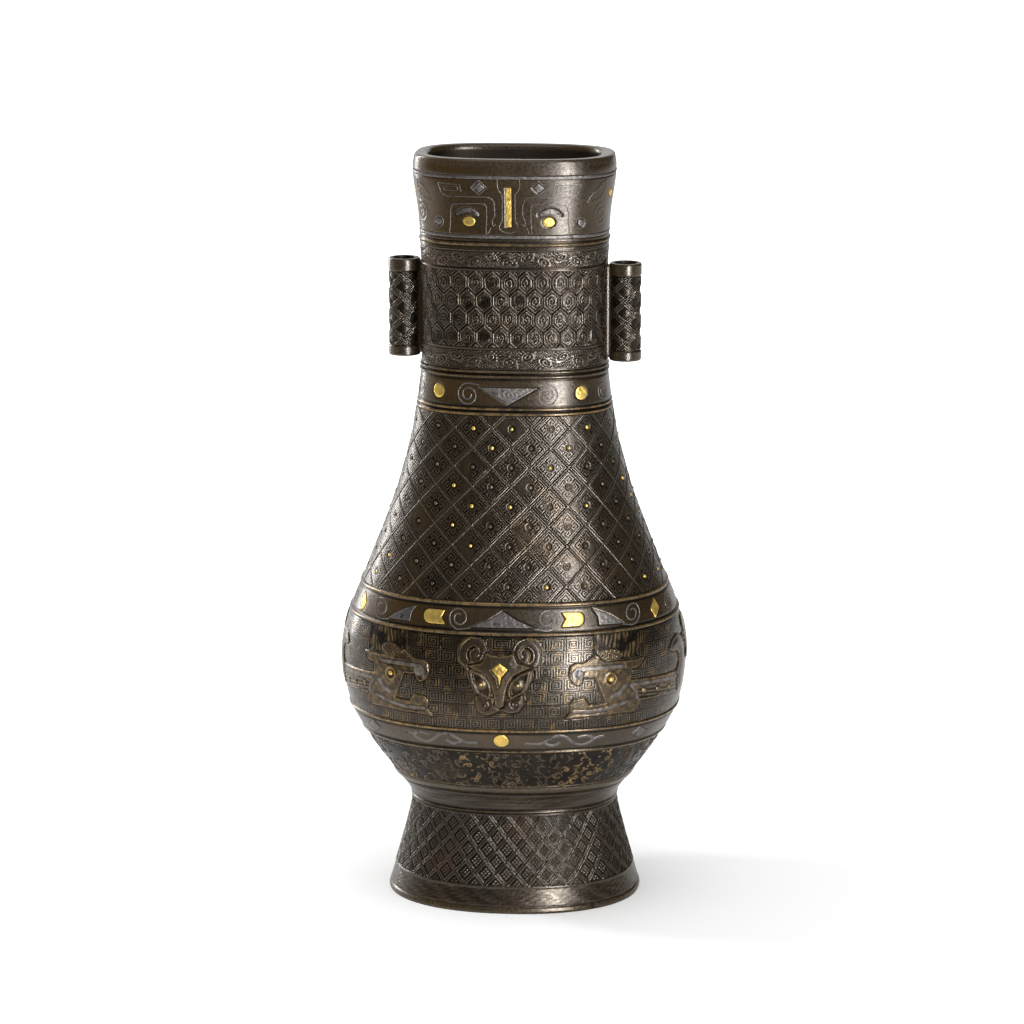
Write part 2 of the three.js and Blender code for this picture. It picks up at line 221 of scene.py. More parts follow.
def coil(x, y, pitch):
    """Turns of a square coil"""
    upright = np.abs(y) > np.abs(x)
    side = np.where(upright, np.where(y > 0, 1, 3), np.where(x > 0, 0, 2))
    return np.maximum(np.abs(x), np.abs(y)) / pitch - side / 4


def curl(x, y, pitch):
    """Turns of a round coil"""
    return np.hypot(x, y) / pitch - np.arctan2(y, x) / (2 * math.pi)


def curved(path, steps=6):
    """More points along a smooth line through a path's points"""
    p = np.array([path[0], *path, path[-1]], float)
    t = np.linspace(0, 1, steps, endpoint=False)[:, None]
    spans = []
    for a, b, c, d in zip(p, p[1:], p[2:], p[3:]):
        spans.append(0.5 * (2 * b + (c - a) * t + (2 * a - 5 * b + 4 * c - d) * t**2
                            + (3 * b - a - 3 * c + d) * t**3))
    return np.concatenate([*spans, p[-1:]]).tolist()


def spiral(x, y, outer, inner, turns, start, squash=1.0):
    """Points from the outer end of a spiral in to its inner end"""
    k = np.linspace(0, 1, 40)
    radius = outer + (inner - outer) * k
    angle = start + 2 * math.pi * turns * k
    return np.stack([x + radius * np.cos(angle), y + squash * radius * np.sin(angle)], axis=1).tolist()


def flipped(path):
    """A path on the other side of the face's middle"""
    return [(-x, y) for x, y in path]


def shifted(path, u, z):
    return [(x + u, y + z) for x, y in path]


def waves(x, y, size, seed):
    """Soft unevenness between about -1 and 1, the same on each run"""
    draw = np.random.default_rng(seed)
    total = np.zeros(np.broadcast(x, y).shape)
    for _ in range(9):
        angle, phase = draw.uniform(0, 2 * math.pi, 2)
        reach = 2 * math.pi / (size * draw.uniform(0.6, 1.8))
        total += np.sin((x * math.cos(angle) + y * math.sin(angle)) * reach + phase)
    return total / 4


class Relief:
    """The cast surface over the wall: its height, and how rubbed, gilt, silvered and grimy it is"""

    MARKS = ("wear", "gilt", "silver", "grime", "inside", "fine", "line_cos", "line_sin")

    def __init__(self, u, z, quarter):
        self.u, self.z, self.quarter = u, z, quarter
        # Share of the way round from the middle of the front
        first = np.arange(4).repeat(u.shape[1] // 4)
        start = np.where(first % 2 == 0, first, first + 1)
        self.way = (start + u / quarter) / 4 if u.shape[1] % 4 == 0 else u / quarter / 4
        self.height = np.zeros(u.shape)
        self.marks = {mark: np.zeros(u.shape) for mark in self.MARKS}

    def cover(self, mask, height=None, keep=False, **marks):
        """Takes the surface to a height where mask is 1, and sets its marks there"""
        if height is not None:
            self.height += mask * (height - self.height)
            self.marks["fine"] *= 1 - mask * (not keep)
        for mark, value in marks.items():
            self.marks[mark] += mask * (value - self.marks[mark])

    def trace(self, turns, share, height, ground=GROUND, **marks):
        """Lines that follow turns, raised from the ground here and drawn finer by the material, which also
        paints a highlight on their crests
        """
        self.cover(share, ground, wear=0, grime=1)
        self.cover(crest(turns) * share, height, **{"wear": 0.5, "grime": 0.2, **marks})
        angle = 2 * math.pi * turns
        for mark, value in (("line_cos", np.cos(angle)), ("line_sin", np.sin(angle)), ("fine", 1)):
            self.marks[mark] += share * (value - self.marks[mark])

    def add(self, mask, amount):
        self.height += mask * amount

    def ridge(self, z, half, height, **marks):
        """A raised ring at a height, with a groove on each side"""
        gap = self.z - z
        self.cover(1 - ease(half, half + 0.5, np.abs(np.abs(gap) - half - 0.4)), grime=1)
        self.add(bead(np.abs(gap) - half - 0.55, 0.32), -0.28)
        self.cover(bead(gap, half), height, grime=0, **marks)

    def seat(self, gap):
        """A cut recess where the distance to its edge is below 0"""
        inside = 1 - ease(0.0, 0.35, gap)
        self.cover(inside, -0.3, grime=1)


LEAST_STEP = 0.16


def rows_between(low, high, step, fine=()):
    """Heights from low to high, closer together near the fine ones"""
    rows = list(np.linspace(low, high, max(int((high - low) / step), 2) + 1))
    for z in fine:
        rows += [z + d for d in (-1.3, -0.9, -0.6, -0.3, 0, 0.3, 0.6, 0.9, 1.3)]
    rows = sorted(z for z in rows if low <= z <= high)
    kept = [low]
    for z in rows:
        if z - kept[-1] > LEAST_STEP:
            kept.append(z)
    kept[-1] = high
    return kept


# Meshes


def surface_normals(grid):
    """The direction out of a grid of rings, at each of its points"""
    along = np.roll(grid, -1, axis=1) - np.roll(grid, 1, axis=1)
    rising = np.gradient(grid, axis=0)
    out = np.cross(along, rising)
    return out / np.maximum(np.linalg.norm(out, axis=2, keepdims=True), 1e-12)


def fill_mesh(name, points, loops, starts, uvs, normals):
    """A smooth mesh from flat lists of points, corners, first corners of faces, UVs and normals"""
    mesh = bpy.data.meshes.new(name)
    mesh.vertices.add(len(points))
    mesh.vertices.foreach_set("co", (points * MM).astype(np.float32).ravel())
    mesh.loops.add(len(loops))
    mesh.loops.foreach_set("vertex_index", loops.astype(np.int32))
    mesh.polygons.add(len(starts))
    mesh.polygons.foreach_set("loop_start", starts.astype(np.int32))
    mesh.update(calc_edges=True)
    mesh.polygons.foreach_set("use_smooth", np.ones(len(starts), bool))
    layer = mesh.uv_layers.new(name="OFBake")
    layer.uv.foreach_set("vector", uvs.astype(np.float32).ravel())
    mesh.normals_split_custom_set(normals.astype(np.float32))
    return mesh


def shell(name, grids, marks, columns=None):
    """A closed mesh through grids of rows that follow each other up the outside and down the inside.

    It is smooth within a grid and sharp between two. Columns, a first and last one, make a part
    with flat ends, and no columns the whole ring."""
    lengths = [len(grid) for grid in grids]
    points, normals = np.concatenate(grids), np.concatenate([surface_normals(g) for g in grids])
    total, around = points.shape[:2]
    take = np.arange(around) if columns is None else np.arange(columns[0], columns[1] + 1) % around
    points, normals = points[:, take], normals[:, take]
    wide = len(take)
    spans = wide if columns is None else wide - 1
    i, j = np.arange(total)[:, None], np.arange(spans)[None, :]
    up, right = (i + 1) % total, (j + 1) % wide
    quads = np.stack([i * wide + j, i * wide + right, up * wide + right, up * wide + j], axis=2)
    flat_points = points.reshape(-1, 3)
    loop_normals = normals.reshape(-1, 3)[quads]
    turns = np.cumsum(lengths) - 1
    for row in turns:
        corner = flat_points[quads[row]]
        out = np.cross(corner[:, 1] - corner[:, 0], corner[:, 3] - corner[:, 0])
        out /= np.maximum(np.linalg.norm(out, axis=1, keepdims=True), 1e-12)
        loop_normals[row] = out[:, None, :]
    weight = np.full(total, 0.10 / max(total - lengths[0], 1))
    weight[: lengths[0] - 1] = 0.86 / (lengths[0] - 1)
    weight[turns] = 0.008
    v = 0.005 + np.concatenate([[0], np.cumsum(weight)])
    across = 0.01 + 0.96 * np.arange(spans + 1) / spans
    corner_u = np.stack([across[:-1], across[1:], across[1:], across[:-1]], axis=1)
    corner_v = np.stack([v[:-1], v[:-1], v[1:], v[1:]], axis=1)
    shape = quads.shape
    uvs = np.stack([np.broadcast_to(corner_u[None], shape), np.broadcast_to(corner_v[:, None], shape)], axis=3)
    loops, starts = quads.reshape(-1), np.arange(quads.shape[0] * quads.shape[1]) * 4
    uvs, loop_normals = uvs.reshape(-1, 2), loop_normals.reshape(-1, 3)
    if columns is not None:
        across = np.where(np.arange(total) < lengths[0], 0.98, 0.99)
        for column, order in ((0, 1), (wide - 1, -1)):
            end = (np.arange(total) * wide + column)[::order]
            along = points[0, min(column + 1, wide - 1)] - points[0, max(column - 1, 0)]
            along = -order * along / np.linalg.norm(along)
            starts = np.append(starts, len(loops))
            loops = np.append(loops, end)
            loop_normals = np.concatenate([loop_normals, np.broadcast_to(along, (total, 3))])
            uvs = np.concatenate([uvs, np.stack([across, v[:-1]], axis=1)[::order]])
            across = across + 0.012
    mesh = fill_mesh(name, flat_points, loops, starts, uvs, loop_normals)
    for mark, values in marks.items():
        whole = np.full((total, wide), {"grime": 0.5, "inside": 1.0}.get(mark, 0.0))
        whole[: len(values)] = values[:, take]
        attribute = mesh.attributes.new(mark, "FLOAT", "POINT")
        attribute.data.foreach_set("value", whole.astype(np.float32).ravel())
    return mesh


def capped(rows):
    """Loops of a closed form through rows of points, with its first and last row filled"""
    count, around = len(rows), len(rows[0])
    i, j = np.arange(count - 1)[:, None], np.arange(around)[None, :]
    right = (j + 1) % around
    quads = np.stack([i * around + j, i * around + right, (i + 1) * around + right, (i + 1) * around + j], 2)
    quads = quads.reshape(-1, 4)
    first, last = np.arange(around)[::-1], (count - 1) * around + np.arange(around)
    return [*quads.tolist(), first.tolist(), last.tolist()]


def joined_mesh(name, forms, sharp=35):
    """One mesh of several closed forms, each a pair of rows of points and their faces"""
    points, faces, offset = [], [], 0
    for rows, loops in forms:
        flat = np.asarray(rows, float).reshape(-1, 3)
        points.append(flat)
        faces += [[corner + offset for corner in face] for face in loops]
        offset += len(flat)
    mesh = bpy.data.meshes.new(name)
    mesh.from_pydata((np.concatenate(points) * MM).tolist(), [], faces)
    mesh.polygons.foreach_set("use_smooth", [True] * len(mesh.polygons))
    mesh.set_sharp_from_angle(angle=math.radians(sharp))
    mesh.update()
    return mesh


def piece(name, mesh, material, slot, *nodes):
    """Puts a finished mesh in the scene as a piece of the vase that stands for CAD nodes"""
    mesh.materials.clear()
    mesh.materials.append(material)
    obj = bpy.data.objects.new(name, mesh)
    bpy.context.scene.collection.objects.link(obj)
    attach(obj, "root")
    if nodes:
        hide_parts(*nodes)


def band(name, heights, columns, shape, lining, parts, material, lip=()):
    """A stretch of the cast body between two heights, in so many parts round the vase.

    Shape fills a Relief, lining is the inside as (height, depth from the wall) from the top
    down, and lip rounds the upper edge over to the inside in the same way."""
    points, out, u, z, quarter = ring(heights, columns)
    relief = Relief(u, z, quarter)
    shape(relief)
    for mark, values in relief.marks.items():
        rows = np.full((len(lip), values.shape[1]), 0.5 if mark == "wear" else 0.0)
        relief.marks[mark] = np.concatenate([values, rows])
    outer = points + out * relief.height[..., None]

    def inset(stations):
        points, out, *_ = ring([z for z, _ in stations], columns)
        depth = np.array([d for _, d in stations], float)[:, None, None]
        return points - out * depth

    grids = [outer, inset(lining)]
    if lip:
        grids = [np.concatenate([outer, inset(lip), inset(lining)])]
    around = 4 * columns
    for part in range(parts):
        ends = None if parts == 1 else (part * around // parts, (part + 1) * around // parts)
        label = name if parts == 1 else f"{name}_{part + 1}"
        mesh = shell(label, grids, relief.marks, ends)
        piece(label, mesh, material, "patinated_bronze", "vase_body")


# Relief of each band


def ground(r, height=GROUND):
    """The dark ground that raised lines stand on"""
    r.height[:] = height
    r.marks["grime"][:] = 1


def lines(r, mask, height, **marks):
    """Raised lines where mask is 1"""
    marks = {"wear": 0.6, "grime": 0.1, **marks}
    r.cover(mask, height, True, **marks)


FAN = [(32.0, 282.6), (34.5, 286.2), (38.5, 290.0), (41.5, 290.8), (41.0, 287.5), (38, 284)]


def rim_shape(r):
    """The mouth, with the recesses of its strips and plates and two figures near the narrow sides"""
    r.ridge(266.4, half=0.45, height=0.5, wear=0.5, gilt=0.5)
    r.cover(1 - ease(265.2, 265.7, r.z), 0.15, grime=0.3, wear=0.3)
    for strip in BORDER_STRIPS:
        r.seat(np.abs(r.z - strip) - STRIP_HALF)
    r.add(ease(293.8, 295.5, r.z), 0.1)
    x = np.abs(r.u)
    r.add(bead(outline_gap(x, r.z, FAN), 0.3), 0.18)
    swirl = trail_gap(x, r.z, spiral(38.4, 277.3, 4.2, 0.8, 1.9, 0.6, squash=1.15))
    r.cover(bead(swirl, 0.3), 0.2, wear=0.8)
    seats(r, MOUTH_PLATES)


def scroll_band(r, low, high, width):
    """Curls that turn over and under each other along a band"""
    middle, half = (low + high) / 2, (high - low) / 2
    inside = ease(low, low + 0.3, r.z) * ease(-high, -high + 0.3, -r.z)
    cell = np.floor(np.abs(r.u) / width + 0.5)
    x = np.abs(r.u) - cell * width
    turn = np.where(cell % 2 == 0, 1, -1)
    y = (r.z - middle) * turn
    sx, sy = x * 0.85 + 0.5 * y, y + half * 0.32
    reach = np.hypot(sx, sy)
    bow = np.hypot(x * 0.72 - 1.2, y + half * 1.5)
    arcs = np.where(y > half * 0.35, (x + 0.9 * y) / 0.95, bow / 0.92)
    turns = np.where(reach < half * 0.6, curl(sx, sy, 1.05), arcs)
    turns = np.where(np.abs(reach - half * 0.62) < 0.25, 0.5, turns)
    r.trace(turns, inside, 0.0, -0.2, wear=0.5, grime=0)
    r.add((1 - ease(0, half * 0.8, reach)) * inside, 0.16)


# A cell of the neck: half width, half height, half height of its upright sides, and the rows' pitch
HEXAGON = (3.35, 5.15, 2.1, 7.27)
HEXAGON_TOP_ROW = 251.3


def neck_shape(r):
    """Rows of hexagons with a curl in each, between two bands of scrolls"""
    ground(r)
    for z in (264.2, 256.4, 225.2, 217.2):
        lines(r, bead(r.z - z, 0.34), 0.05, wear=0.8)
    scroll_band(r, 257.4, 263.6, 6.6)
    scroll_band(r, 217.6, 224.6, 6.9)
    half, tall, side, pitch = HEXAGON
    x, y = np.abs(r.u), r.z - HEXAGON_TOP_ROW
    best = np.full(x.shape, 9.0)
    cx, cy = np.zeros(x.shape), np.zeros(x.shape)
    slant = (tall - side) / tall / half
    row = np.round(y / pitch)
    for step in (-1, 0, 1):
        k = row + step
        offset = np.where(k % 2 == 0, 0.0, half)
        dx = (x - offset + half) % (2 * half) - half
        dy = y - k * pitch
        norm = np.maximum(np.abs(dx) / half, np.abs(dy) / tall + np.abs(dx) * slant)
        nearer = norm < best
        best = np.where(nearer, norm, best)
        cx, cy = np.where(nearer, dx, cx), np.where(nearer, dy, cy)
    field = ease(225.7, 226.1, r.z) * ease(-256.0, -255.6, -r.z)
    gap = (1 - best) * half
    hand = np.where((np.round((x - cx) / half) + row) % 3 == 0, -1, 1)
    turns = np.where(gap > 1.75, curl(cx * hand, cy * 0.7, 0.95), (gap - 0.5) / 0.88 + 0.5)
    turns += 0.12 * waves(r.u, r.z, 3, 65)
    dim = 0.7 * ease(0.1, 0.9, waves(r.u, r.z, 9, 63))
    r.cover(field, -0.18, grime=1, wear=0)
    r.trace(turns, field * (1 - dim), -0.06 + 0.04 * np.minimum(gap, 2), -0.2, wear=0.2, grime=0.2)
    lines(r, bead(gap - 0.5, 0.22) * field, 0.08, wear=0.35, grime=0.1)
    r.cover(bead(gap, 0.14) * field, -0.42, True, grime=1, wear=0)


def neck_band_shape(r):
    """The plain band under the neck, with its double ridges and gilt grooves"""
    for z in (216.1, 214.2):
        r.ridge(z, half=0.4, height=0.5, wear=0.7, gilt=0.25)
    for z in (201.6, 199.6):
        r.ridge(z, half=0.35, height=0.18, gilt=0.9, wear=0.5)
    r.cover(bead(r.z - 212.6, 0.2), -0.12, grime=0.7)
    seats(r, NECK_PLATES)


# Half width and half height of a lozenge, and where their rows begin
LOZENGE = (7.65, 7.43)
FIELD_TOP_ROW = 194.0
FIELD_SHIFT = 1.5


def field_place(r):
    """The middle of the lozenges is a little right of the middle of the face"""
    return r.u - FIELD_SHIFT * (1 - ease(0.5, 1, np.abs(r.u) / r.quarter))


def field_shape(r):
    """Lozenges with four square coils in each, worn smooth in patches"""
    ground(r)
    a, b = LOZENGE
    x, y = field_place(r), r.z - FIELD_TOP_ROW
    across = (x / a + y / b + 1) % 2 - 1
    along = (y / b - x / a + 1) % 2 - 1
    reach = a * b / math.hypot(a, b)
    edge = (1 - np.maximum(np.abs(across), np.abs(along))) * reach
    lx, ly = (np.abs(across) - 0.36) * reach, (np.abs(along) - 0.36) * reach
    worn = ease(0.2, 0.8, waves(r.u, r.z, 13, 61))
    turns = np.where(edge > 1.3, coil(lx, ly, 1.05), edge / 0.86 + 0.5)
    share = np.where(edge > 1.3, 1 - 0.85 * worn, 1 - 0.4 * worn)
    r.cover(worn, -0.1, grime=0.15, wear=0.3)
    r.trace(turns, share, -0.1, -0.16, wear=0.3, grime=0.05)
    lines(r, bead(edge, 0.3), 0.07, wear=0.6, grime=0)
    r.add(bead(edge - 0.52, 0.16), -0.1)
    centre = np.hypot((across - along) * a, (across + along) * b) / 2
    r.cover(1 - ease(1.7, 2.2, centre), GROUND, grime=1, wear=0)
    r.cover(bead(centre - 1.75, 0.26), -0.1, wear=0.6, grime=0.3)


def shoulder_shape(r):
    """The smooth band over the frieze"""
    r.ridge(128.1, half=0.5, height=0.45, gilt=0.8, wear=0.6)
    r.cover(bead(r.z - 126.6, 0.25), -0.2, grime=0.9)
    r.ridge(117.1, half=0.5, height=0.5, gilt=0.6, wear=0.6)
    seats(r, SHOULDER_PLATES)


# The ram's mask, a little left of the middle of the face, in outlines of its right half. The muzzle,
# which differs left and right, is whole.
FACE_CENTRE = -0.7
BROW = [(0, 109.0), (3.4, 109.3), (5.2, 110.1), (7.0, 106.2), (12.3, 104.9), (8.0, 103.2), (5.0, 101.4),
        (3.2, 98.4), (2.3, 95.0), (1.8, 91.6), (1.5, 89.4), (0, 88.6), (-2, 89), (-2, 109)]
CHEEK = [(-2, 104), (12.9, 104.9), (12.7, 101), (11.4, 97.8), (9.8, 94.4), (9.9, 91.6), (6, 90), (0, 89),
         (-2, 89)]
MUZZLE = [(-10.1, 93.3), (-10.0, 89.4), (-8.9, 86.7), (-6.2, 85.3), (-3.4, 86.0), (-0.6, 87.4), (3.4, 86.4),
          (6.6, 87.0), (8.6, 89.9), (8.3, 93.7), (4, 92.2), (-5, 92.2)]
HORN = curved([(11.6, 104.6), (14.2, 107.2), (14.2, 111.2), (11.4, 114.0), (8.2, 113.4), (6.6, 110.8),
               (7.4, 107.8), (9.6, 107.4), (10.4, 109.4), (9.4, 110.3)])
HORN_RIM = curved([(13.4, 104.2), (16.2, 107.0), (16.5, 111.4), (13.6, 115.0), (10.6, 115.9)])
EYE = [(11.5, 103.0), (10.6, 98.8), (8.6, 94.8), (4.4, 92.6), (3.6, 95.6), (4.8, 98.9), (7.8, 101.6)]

# The right dragon, by its distance from the line that the two dragons mirror on
DRAGON_CENTRE = -1.5
DRAGON = [
    (29.4, 98.4), (28.1, 101.6), (28.6, 104.6), (30.4, 105.6), (34.4, 105.8), (36.6, 107.2), (38.6, 108.7),
    (41.0, 107.4), (44, 105.6), (52, 105.0), (60.5, 105.4), (58, 102.4), (54.5, 102.0), (54, 97.4),
    (60, 96.9), (70, 96.3), (84, 95.6), (86, 91), (84.6, 86.6),
    (70, 88.2), (58.3, 88.6), (57.8, 86.2), (55.8, 84.3), (49, 84.7), (43, 84.4), (37, 84.4), (30, 84.1),
    (26.4, 83.7), (28.7, 86.4), (28.5, 89.8), (29.8, 91.2), (34.1, 91.9), (36.2, 88.6), (43.2, 89.0),
    (39.0, 100.0), (33.6, 100.3), (33.0, 98.2), (31.8, 97.2),
]
DRAGON_STRIPS = [
    [(30.2, 99.3), (29.8, 101.8), (31.2, 103.2), (37.7, 103.5), (50.5, 103.3)],
    [(29.8, 86.5), (37.9, 86.1), (44.8, 87.0), (52.9, 88.8)],
    [(54.5, 95.3), (62, 95.0), (69.8, 94.5), (82, 93.2)],
    [(54.8, 94.6), (56.8, 92.2), (57.2, 89.6)],
]
TAIL = [(82, 95), (84.6, 98.5), (84.4, 102), (82, 104), (78.6, 104.2), (75.8, 105.4), (78.4, 108.4),
        (83, 109.8), (88.2, 108), (91.4, 103.5), (92, 98), (90.4, 92), (88, 88), (84, 86.8)]
DRAGON_EYE = (45.2, 98.7)
DRAGON_KNOBS = [(60.7, 92.0), (68.2, 91.2), (75.6, 90.4)]

# The small mask on a narrow side, by the distance from that side's middle
SIDE_SNOUT = [(-2, 114.5), (3, 114.5), (5.2, 111), (3.4, 107), (3.0, 101), (4.4, 98.6), (2, 97), (-2, 97)]


def leiwen(r, low, row_height, width, pitch):
    """Rows of square coils, each row set off from the last"""
    x = np.abs(r.u)
    row = np.floor((r.z - low) / row_height)
    offset = (row * row * 0.37 % 1) * width
    cell = np.floor((x + offset) / width)
    cx = x + offset - (cell + 0.5) * width
    cy = r.z - low - (row + 0.5) * row_height
    hand = np.where((cell + row) % 2 == 0, 1, -1)
    edge = np.minimum(width / 2 - np.abs(cx), row_height / 2 - np.abs(cy))
    dim = 0.35 * ease(0.1, 0.9, waves(r.u, r.z, 12, 62))
    flecks = 0.7 * ease(0.3, 0.9, waves(r.u, r.z, 6, 64))
    turns = np.where(edge > 0.1, coil(cx * hand * 0.8, cy, pitch), 0.2)
    r.trace(turns, 1 - dim, -0.14, -0.17, wear=0.4, grime=0.05, gilt=flecks)


def raised(r, gap, height, edge, **marks):
    """A plate cast over the ground, with a raised gilt edge"""
    r.cover(bead(gap - 0.4, 0.28), GROUND, grime=0.9, wear=0, gilt=0)
    r.cover(1 - ease(-0.15, 0.25, gap), height, grime=0.3, wear=0.08, gilt=0, silver=0)
    r.cover(bead(gap + 0.2, edge), height + 0.1, grime=0, wear=0.5, **marks)


def dragon_pair(r):
    """Two dragons that face the mask, mirrored, with hatching over their heads"""
    shift = DRAGON_CENTRE * (1 - ease(0.45, 0.9, np.abs(r.u) / r.quarter))
    v = np.abs(r.u - shift)
    hair = ease(37.5, 38.5, v) * ease(-58, -57, -v) * ease(106.2, 107, r.z + 0.6 * np.sin(v))
    sway = v - (r.z - 106) * 0.1 + 0.35 * waves(v, r.z, 5, 41)
    patchy = waves(v, r.z, 5, 42)
    r.cover(hair, GROUND - 0.05, grime=1, wear=0)
    strands = crest(sway / 1.75) * hair * ease(-0.7, 0.4, patchy)
    lines(r, strands, -0.24, wear=0.1, gilt=0.5 * ease(-0.2, 0.6, patchy))
    body = outline_gap(v, r.z, DRAGON)
    grain = waves(v, r.z, 1.1, 43)
    raised(r, body, 0.12 + 0.012 * grain, edge=0.3, gilt=1)
    flecks = 0.4 * ease(-0.6, 0.8, waves(v, r.z, 3, 46)) + 0.05
    r.cover(1 - ease(-0.4, 0.1, body), gilt=flecks, grime=0.3 + 0.4 * ease(0, 0.8, -grain))
    tail = outline_gap(v, r.z, TAIL)
    raised(r, tail, 0.2 + 0.16 * np.minimum(-tail, 2.5), edge=0.32, gilt=0.25)
    within = ease(0.4, 0.8, -body) * (v > 58) * (v < 83) * (r.z < 93.6 - (v - 60) * 0.1)
    stripe = bead(((r.z + 0.13 * v) % 1.5) - 0.75, 0.26)
    r.cover(within, -0.1, grime=0.8, gilt=0)
    r.cover(stripe * within, 0.1, grime=0, wear=0.5, gilt=0.5)
    for strip in DRAGON_STRIPS:
        gap = trail_gap(v, r.z, strip)
        r.cover(bead(gap - 0.95, 0.18), -0.02, grime=0.9)
        worn = ease(-0.9, 0.2, waves(v, r.z, 4, 47))
        strip_mask = (1 - ease(0.45, 0.8, gap)) * (0.5 + 0.5 * worn)
        r.cover(strip_mask, 0.12 + 0.012 * grain, silver=0.8, wear=0.1, grime=0, gilt=0)
    for cx, cz in DRAGON_KNOBS:
        knob = np.hypot((v - cx) / 0.9, (r.z - cz) / 1.2)
        r.cover(1 - ease(1.2, 1.6, knob), -0.18, grime=1, gilt=0)
        r.cover(1 - ease(0.8, 1.1, knob), 0.42 - 0.25 * np.minimum(knob, 1) ** 2, grime=0, gilt=1, wear=0.5)
    boss = np.hypot(v - 32.2, r.z - 101.6)
    dome = 0.45 - 0.09 * boss**2 + 0.06 * grain
    r.cover(1 - ease(1.9, 2.3, boss), dome, silver=1, wear=0.2, grime=0, gilt=0)
    ex, ez = DRAGON_EYE
    eye = np.hypot(v - ex, (r.z - ez) * 0.95)
    r.cover(1 - ease(1.9, 2.4, eye), -0.15, grime=0.9)
    r.cover(bead(eye - 2.2, 0.4), 0.35, grime=0, wear=0.4, gilt=0.9)
    leaf = trail_gap(v, r.z, [(46, 91.4), (49, 92.6), (51.4, 95.2)])
    r.cover(1 - ease(0.6, 0.9, leaf), 0.16, silver=0.9, grime=0, gilt=0)
    patch = np.hypot((v - 45.2) / 5.0, (r.z - 108.0) / 2.7)
    stipple = np.clip(waves(v, r.z, 1.0, 5) * 1.2, -0.4, 1)
    r.cover(1 - ease(0.85, 1.05, patch), -0.05, grime=0.5, wear=0.3, gilt=0.2)
    r.cover((1 - ease(0.85, 1.0, patch)) * np.clip(stipple, 0, 1), 0.08, wear=0.3, gilt=0.5, grime=0.2)


def ram_mask(r):
    """The ram's mask in the middle of a face"""
    x = np.abs(r.u - FACE_CENTRE)
    horn = trail_gap(x, r.z, HORN)
    r.cover(1 - ease(5.4, 5.9, np.hypot(x - 10.2, r.z - 109.9)), GROUND, grime=1, wear=0)
    grain = waves(r.u, r.z, 1.6, 44)
    cheek = outline_gap(x, r.z, CHEEK)
    raised(r, cheek, 0.3 + 0.16 * np.minimum(-cheek, 2.5) + 0.015 * grain, edge=0.32, gilt=0.6)
    r.cover(bead(cheek + 1.0, 0.2), 0.25, grime=1, gilt=0)
    muzzle = outline_gap(r.u, r.z, MUZZLE)
    raised(r, muzzle, 0.5 + 0.2 * np.minimum(-muzzle, 2.5) + 0.02 * grain, edge=0.2, gilt=0.6)
    r.cover(1 - ease(-1.2, -0.6, muzzle), grime=0.5)
    whorl = trail_gap(r.u, r.z, spiral(-6.4, 89.2, 2.0, 0.4, -1.2, 0.9))
    whorl = np.minimum(whorl, trail_gap(r.u, r.z, spiral(5.4, 90.0, 1.9, 0.4, 1.1, 2.2)))
    r.cover(bead(whorl, 0.26) * (muzzle < -0.4), 0.62, grime=1, gilt=0)
    r.cover(1 - ease(1.5, 1.8, horn), 0.75 - 0.1 * np.minimum(horn, 1.8) ** 2, grime=0.25, wear=0.15, gilt=0)
    r.cover(bead(horn - 1.5, 0.2), 0.85, gilt=0.5 + 0.3 * grain, grime=0, wear=0.4)
    outer = trail_gap(x, r.z, HORN_RIM)
    r.cover(bead(outer, 0.22), 0.15, wear=0.5, gilt=0.4, grime=0)
    brow = outline_gap(x, r.z, BROW)
    r.cover(bead(brow - 0.4, 0.35), 0.2, grime=1)
    rise = 1.15 + 0.12 * np.minimum(-brow, 3) + 0.02 * grain
    r.cover(1 - ease(-0.2, 0.3, brow), rise, grime=0, wear=0.15, gilt=0, silver=0)
    r.cover(bead(brow + 0.2, 0.22) * (x < 12), 1.2, gilt=0.7, wear=0.5)
    lid = outline_gap(x, r.z, EYE)
    r.cover(1 - ease(-0.4, 0.0, lid), 0.25, grime=0.9, gilt=0, wear=0.1)
    r.cover(bead(lid, 0.45), 1.05, wear=0.8, gilt=0.3, grime=0)
    r.cover(bead(lid - 0.85, 0.25) * (x > 3.2), 0.55, grime=1, gilt=0)
    ball = np.hypot(x - 7.4, r.z - 97.8)
    r.cover(1 - ease(2.0, 2.4, ball), 1.05 - 0.13 * np.minimum(ball, 2.4) ** 2, grime=0.2, wear=0.3, gilt=0.1)


def side_mask(r):
    """The small mask on a narrow side"""
    rest = r.quarter - np.abs(r.u)
    eye = np.hypot((rest - 7.0) / 3.2, (r.z - 106.2) / 2.1)
    raised(r, outline_gap(rest, r.z, SIDE_SNOUT), 0.35, edge=0.32, gilt=0.4)
    r.cover(1 - ease(1.0, 1.25, eye), -0.1, grime=0.8)
    r.cover(bead((eye - 1) * 2.4, 0.4), 0.4, gilt=0.5, wear=0.6, grime=0)
    r.cover(1 - ease(0.3, 0.5, eye), 0.4, wear=0.6, grime=0)


def frieze_shape(r):
    """Masks and dragons over square coils"""
    ground(r)
    leiwen(r, 78.8, 5.3, 6.7, 0.9)
    dragon_pair(r)
    ram_mask(r)
    side_mask(r)
    seats(r, MASK_PLATES, depth=0.9)


def lower_plain_shape(r):
    """The smooth band under the frieze"""
    r.ridge(78.5, half=0.5, height=0.5, gilt=1, wear=0.7)
    r.ridge(69.0, half=0.45, height=0.45, gilt=0.45, wear=0.5)
    seats(r, LOWER_PLATES)


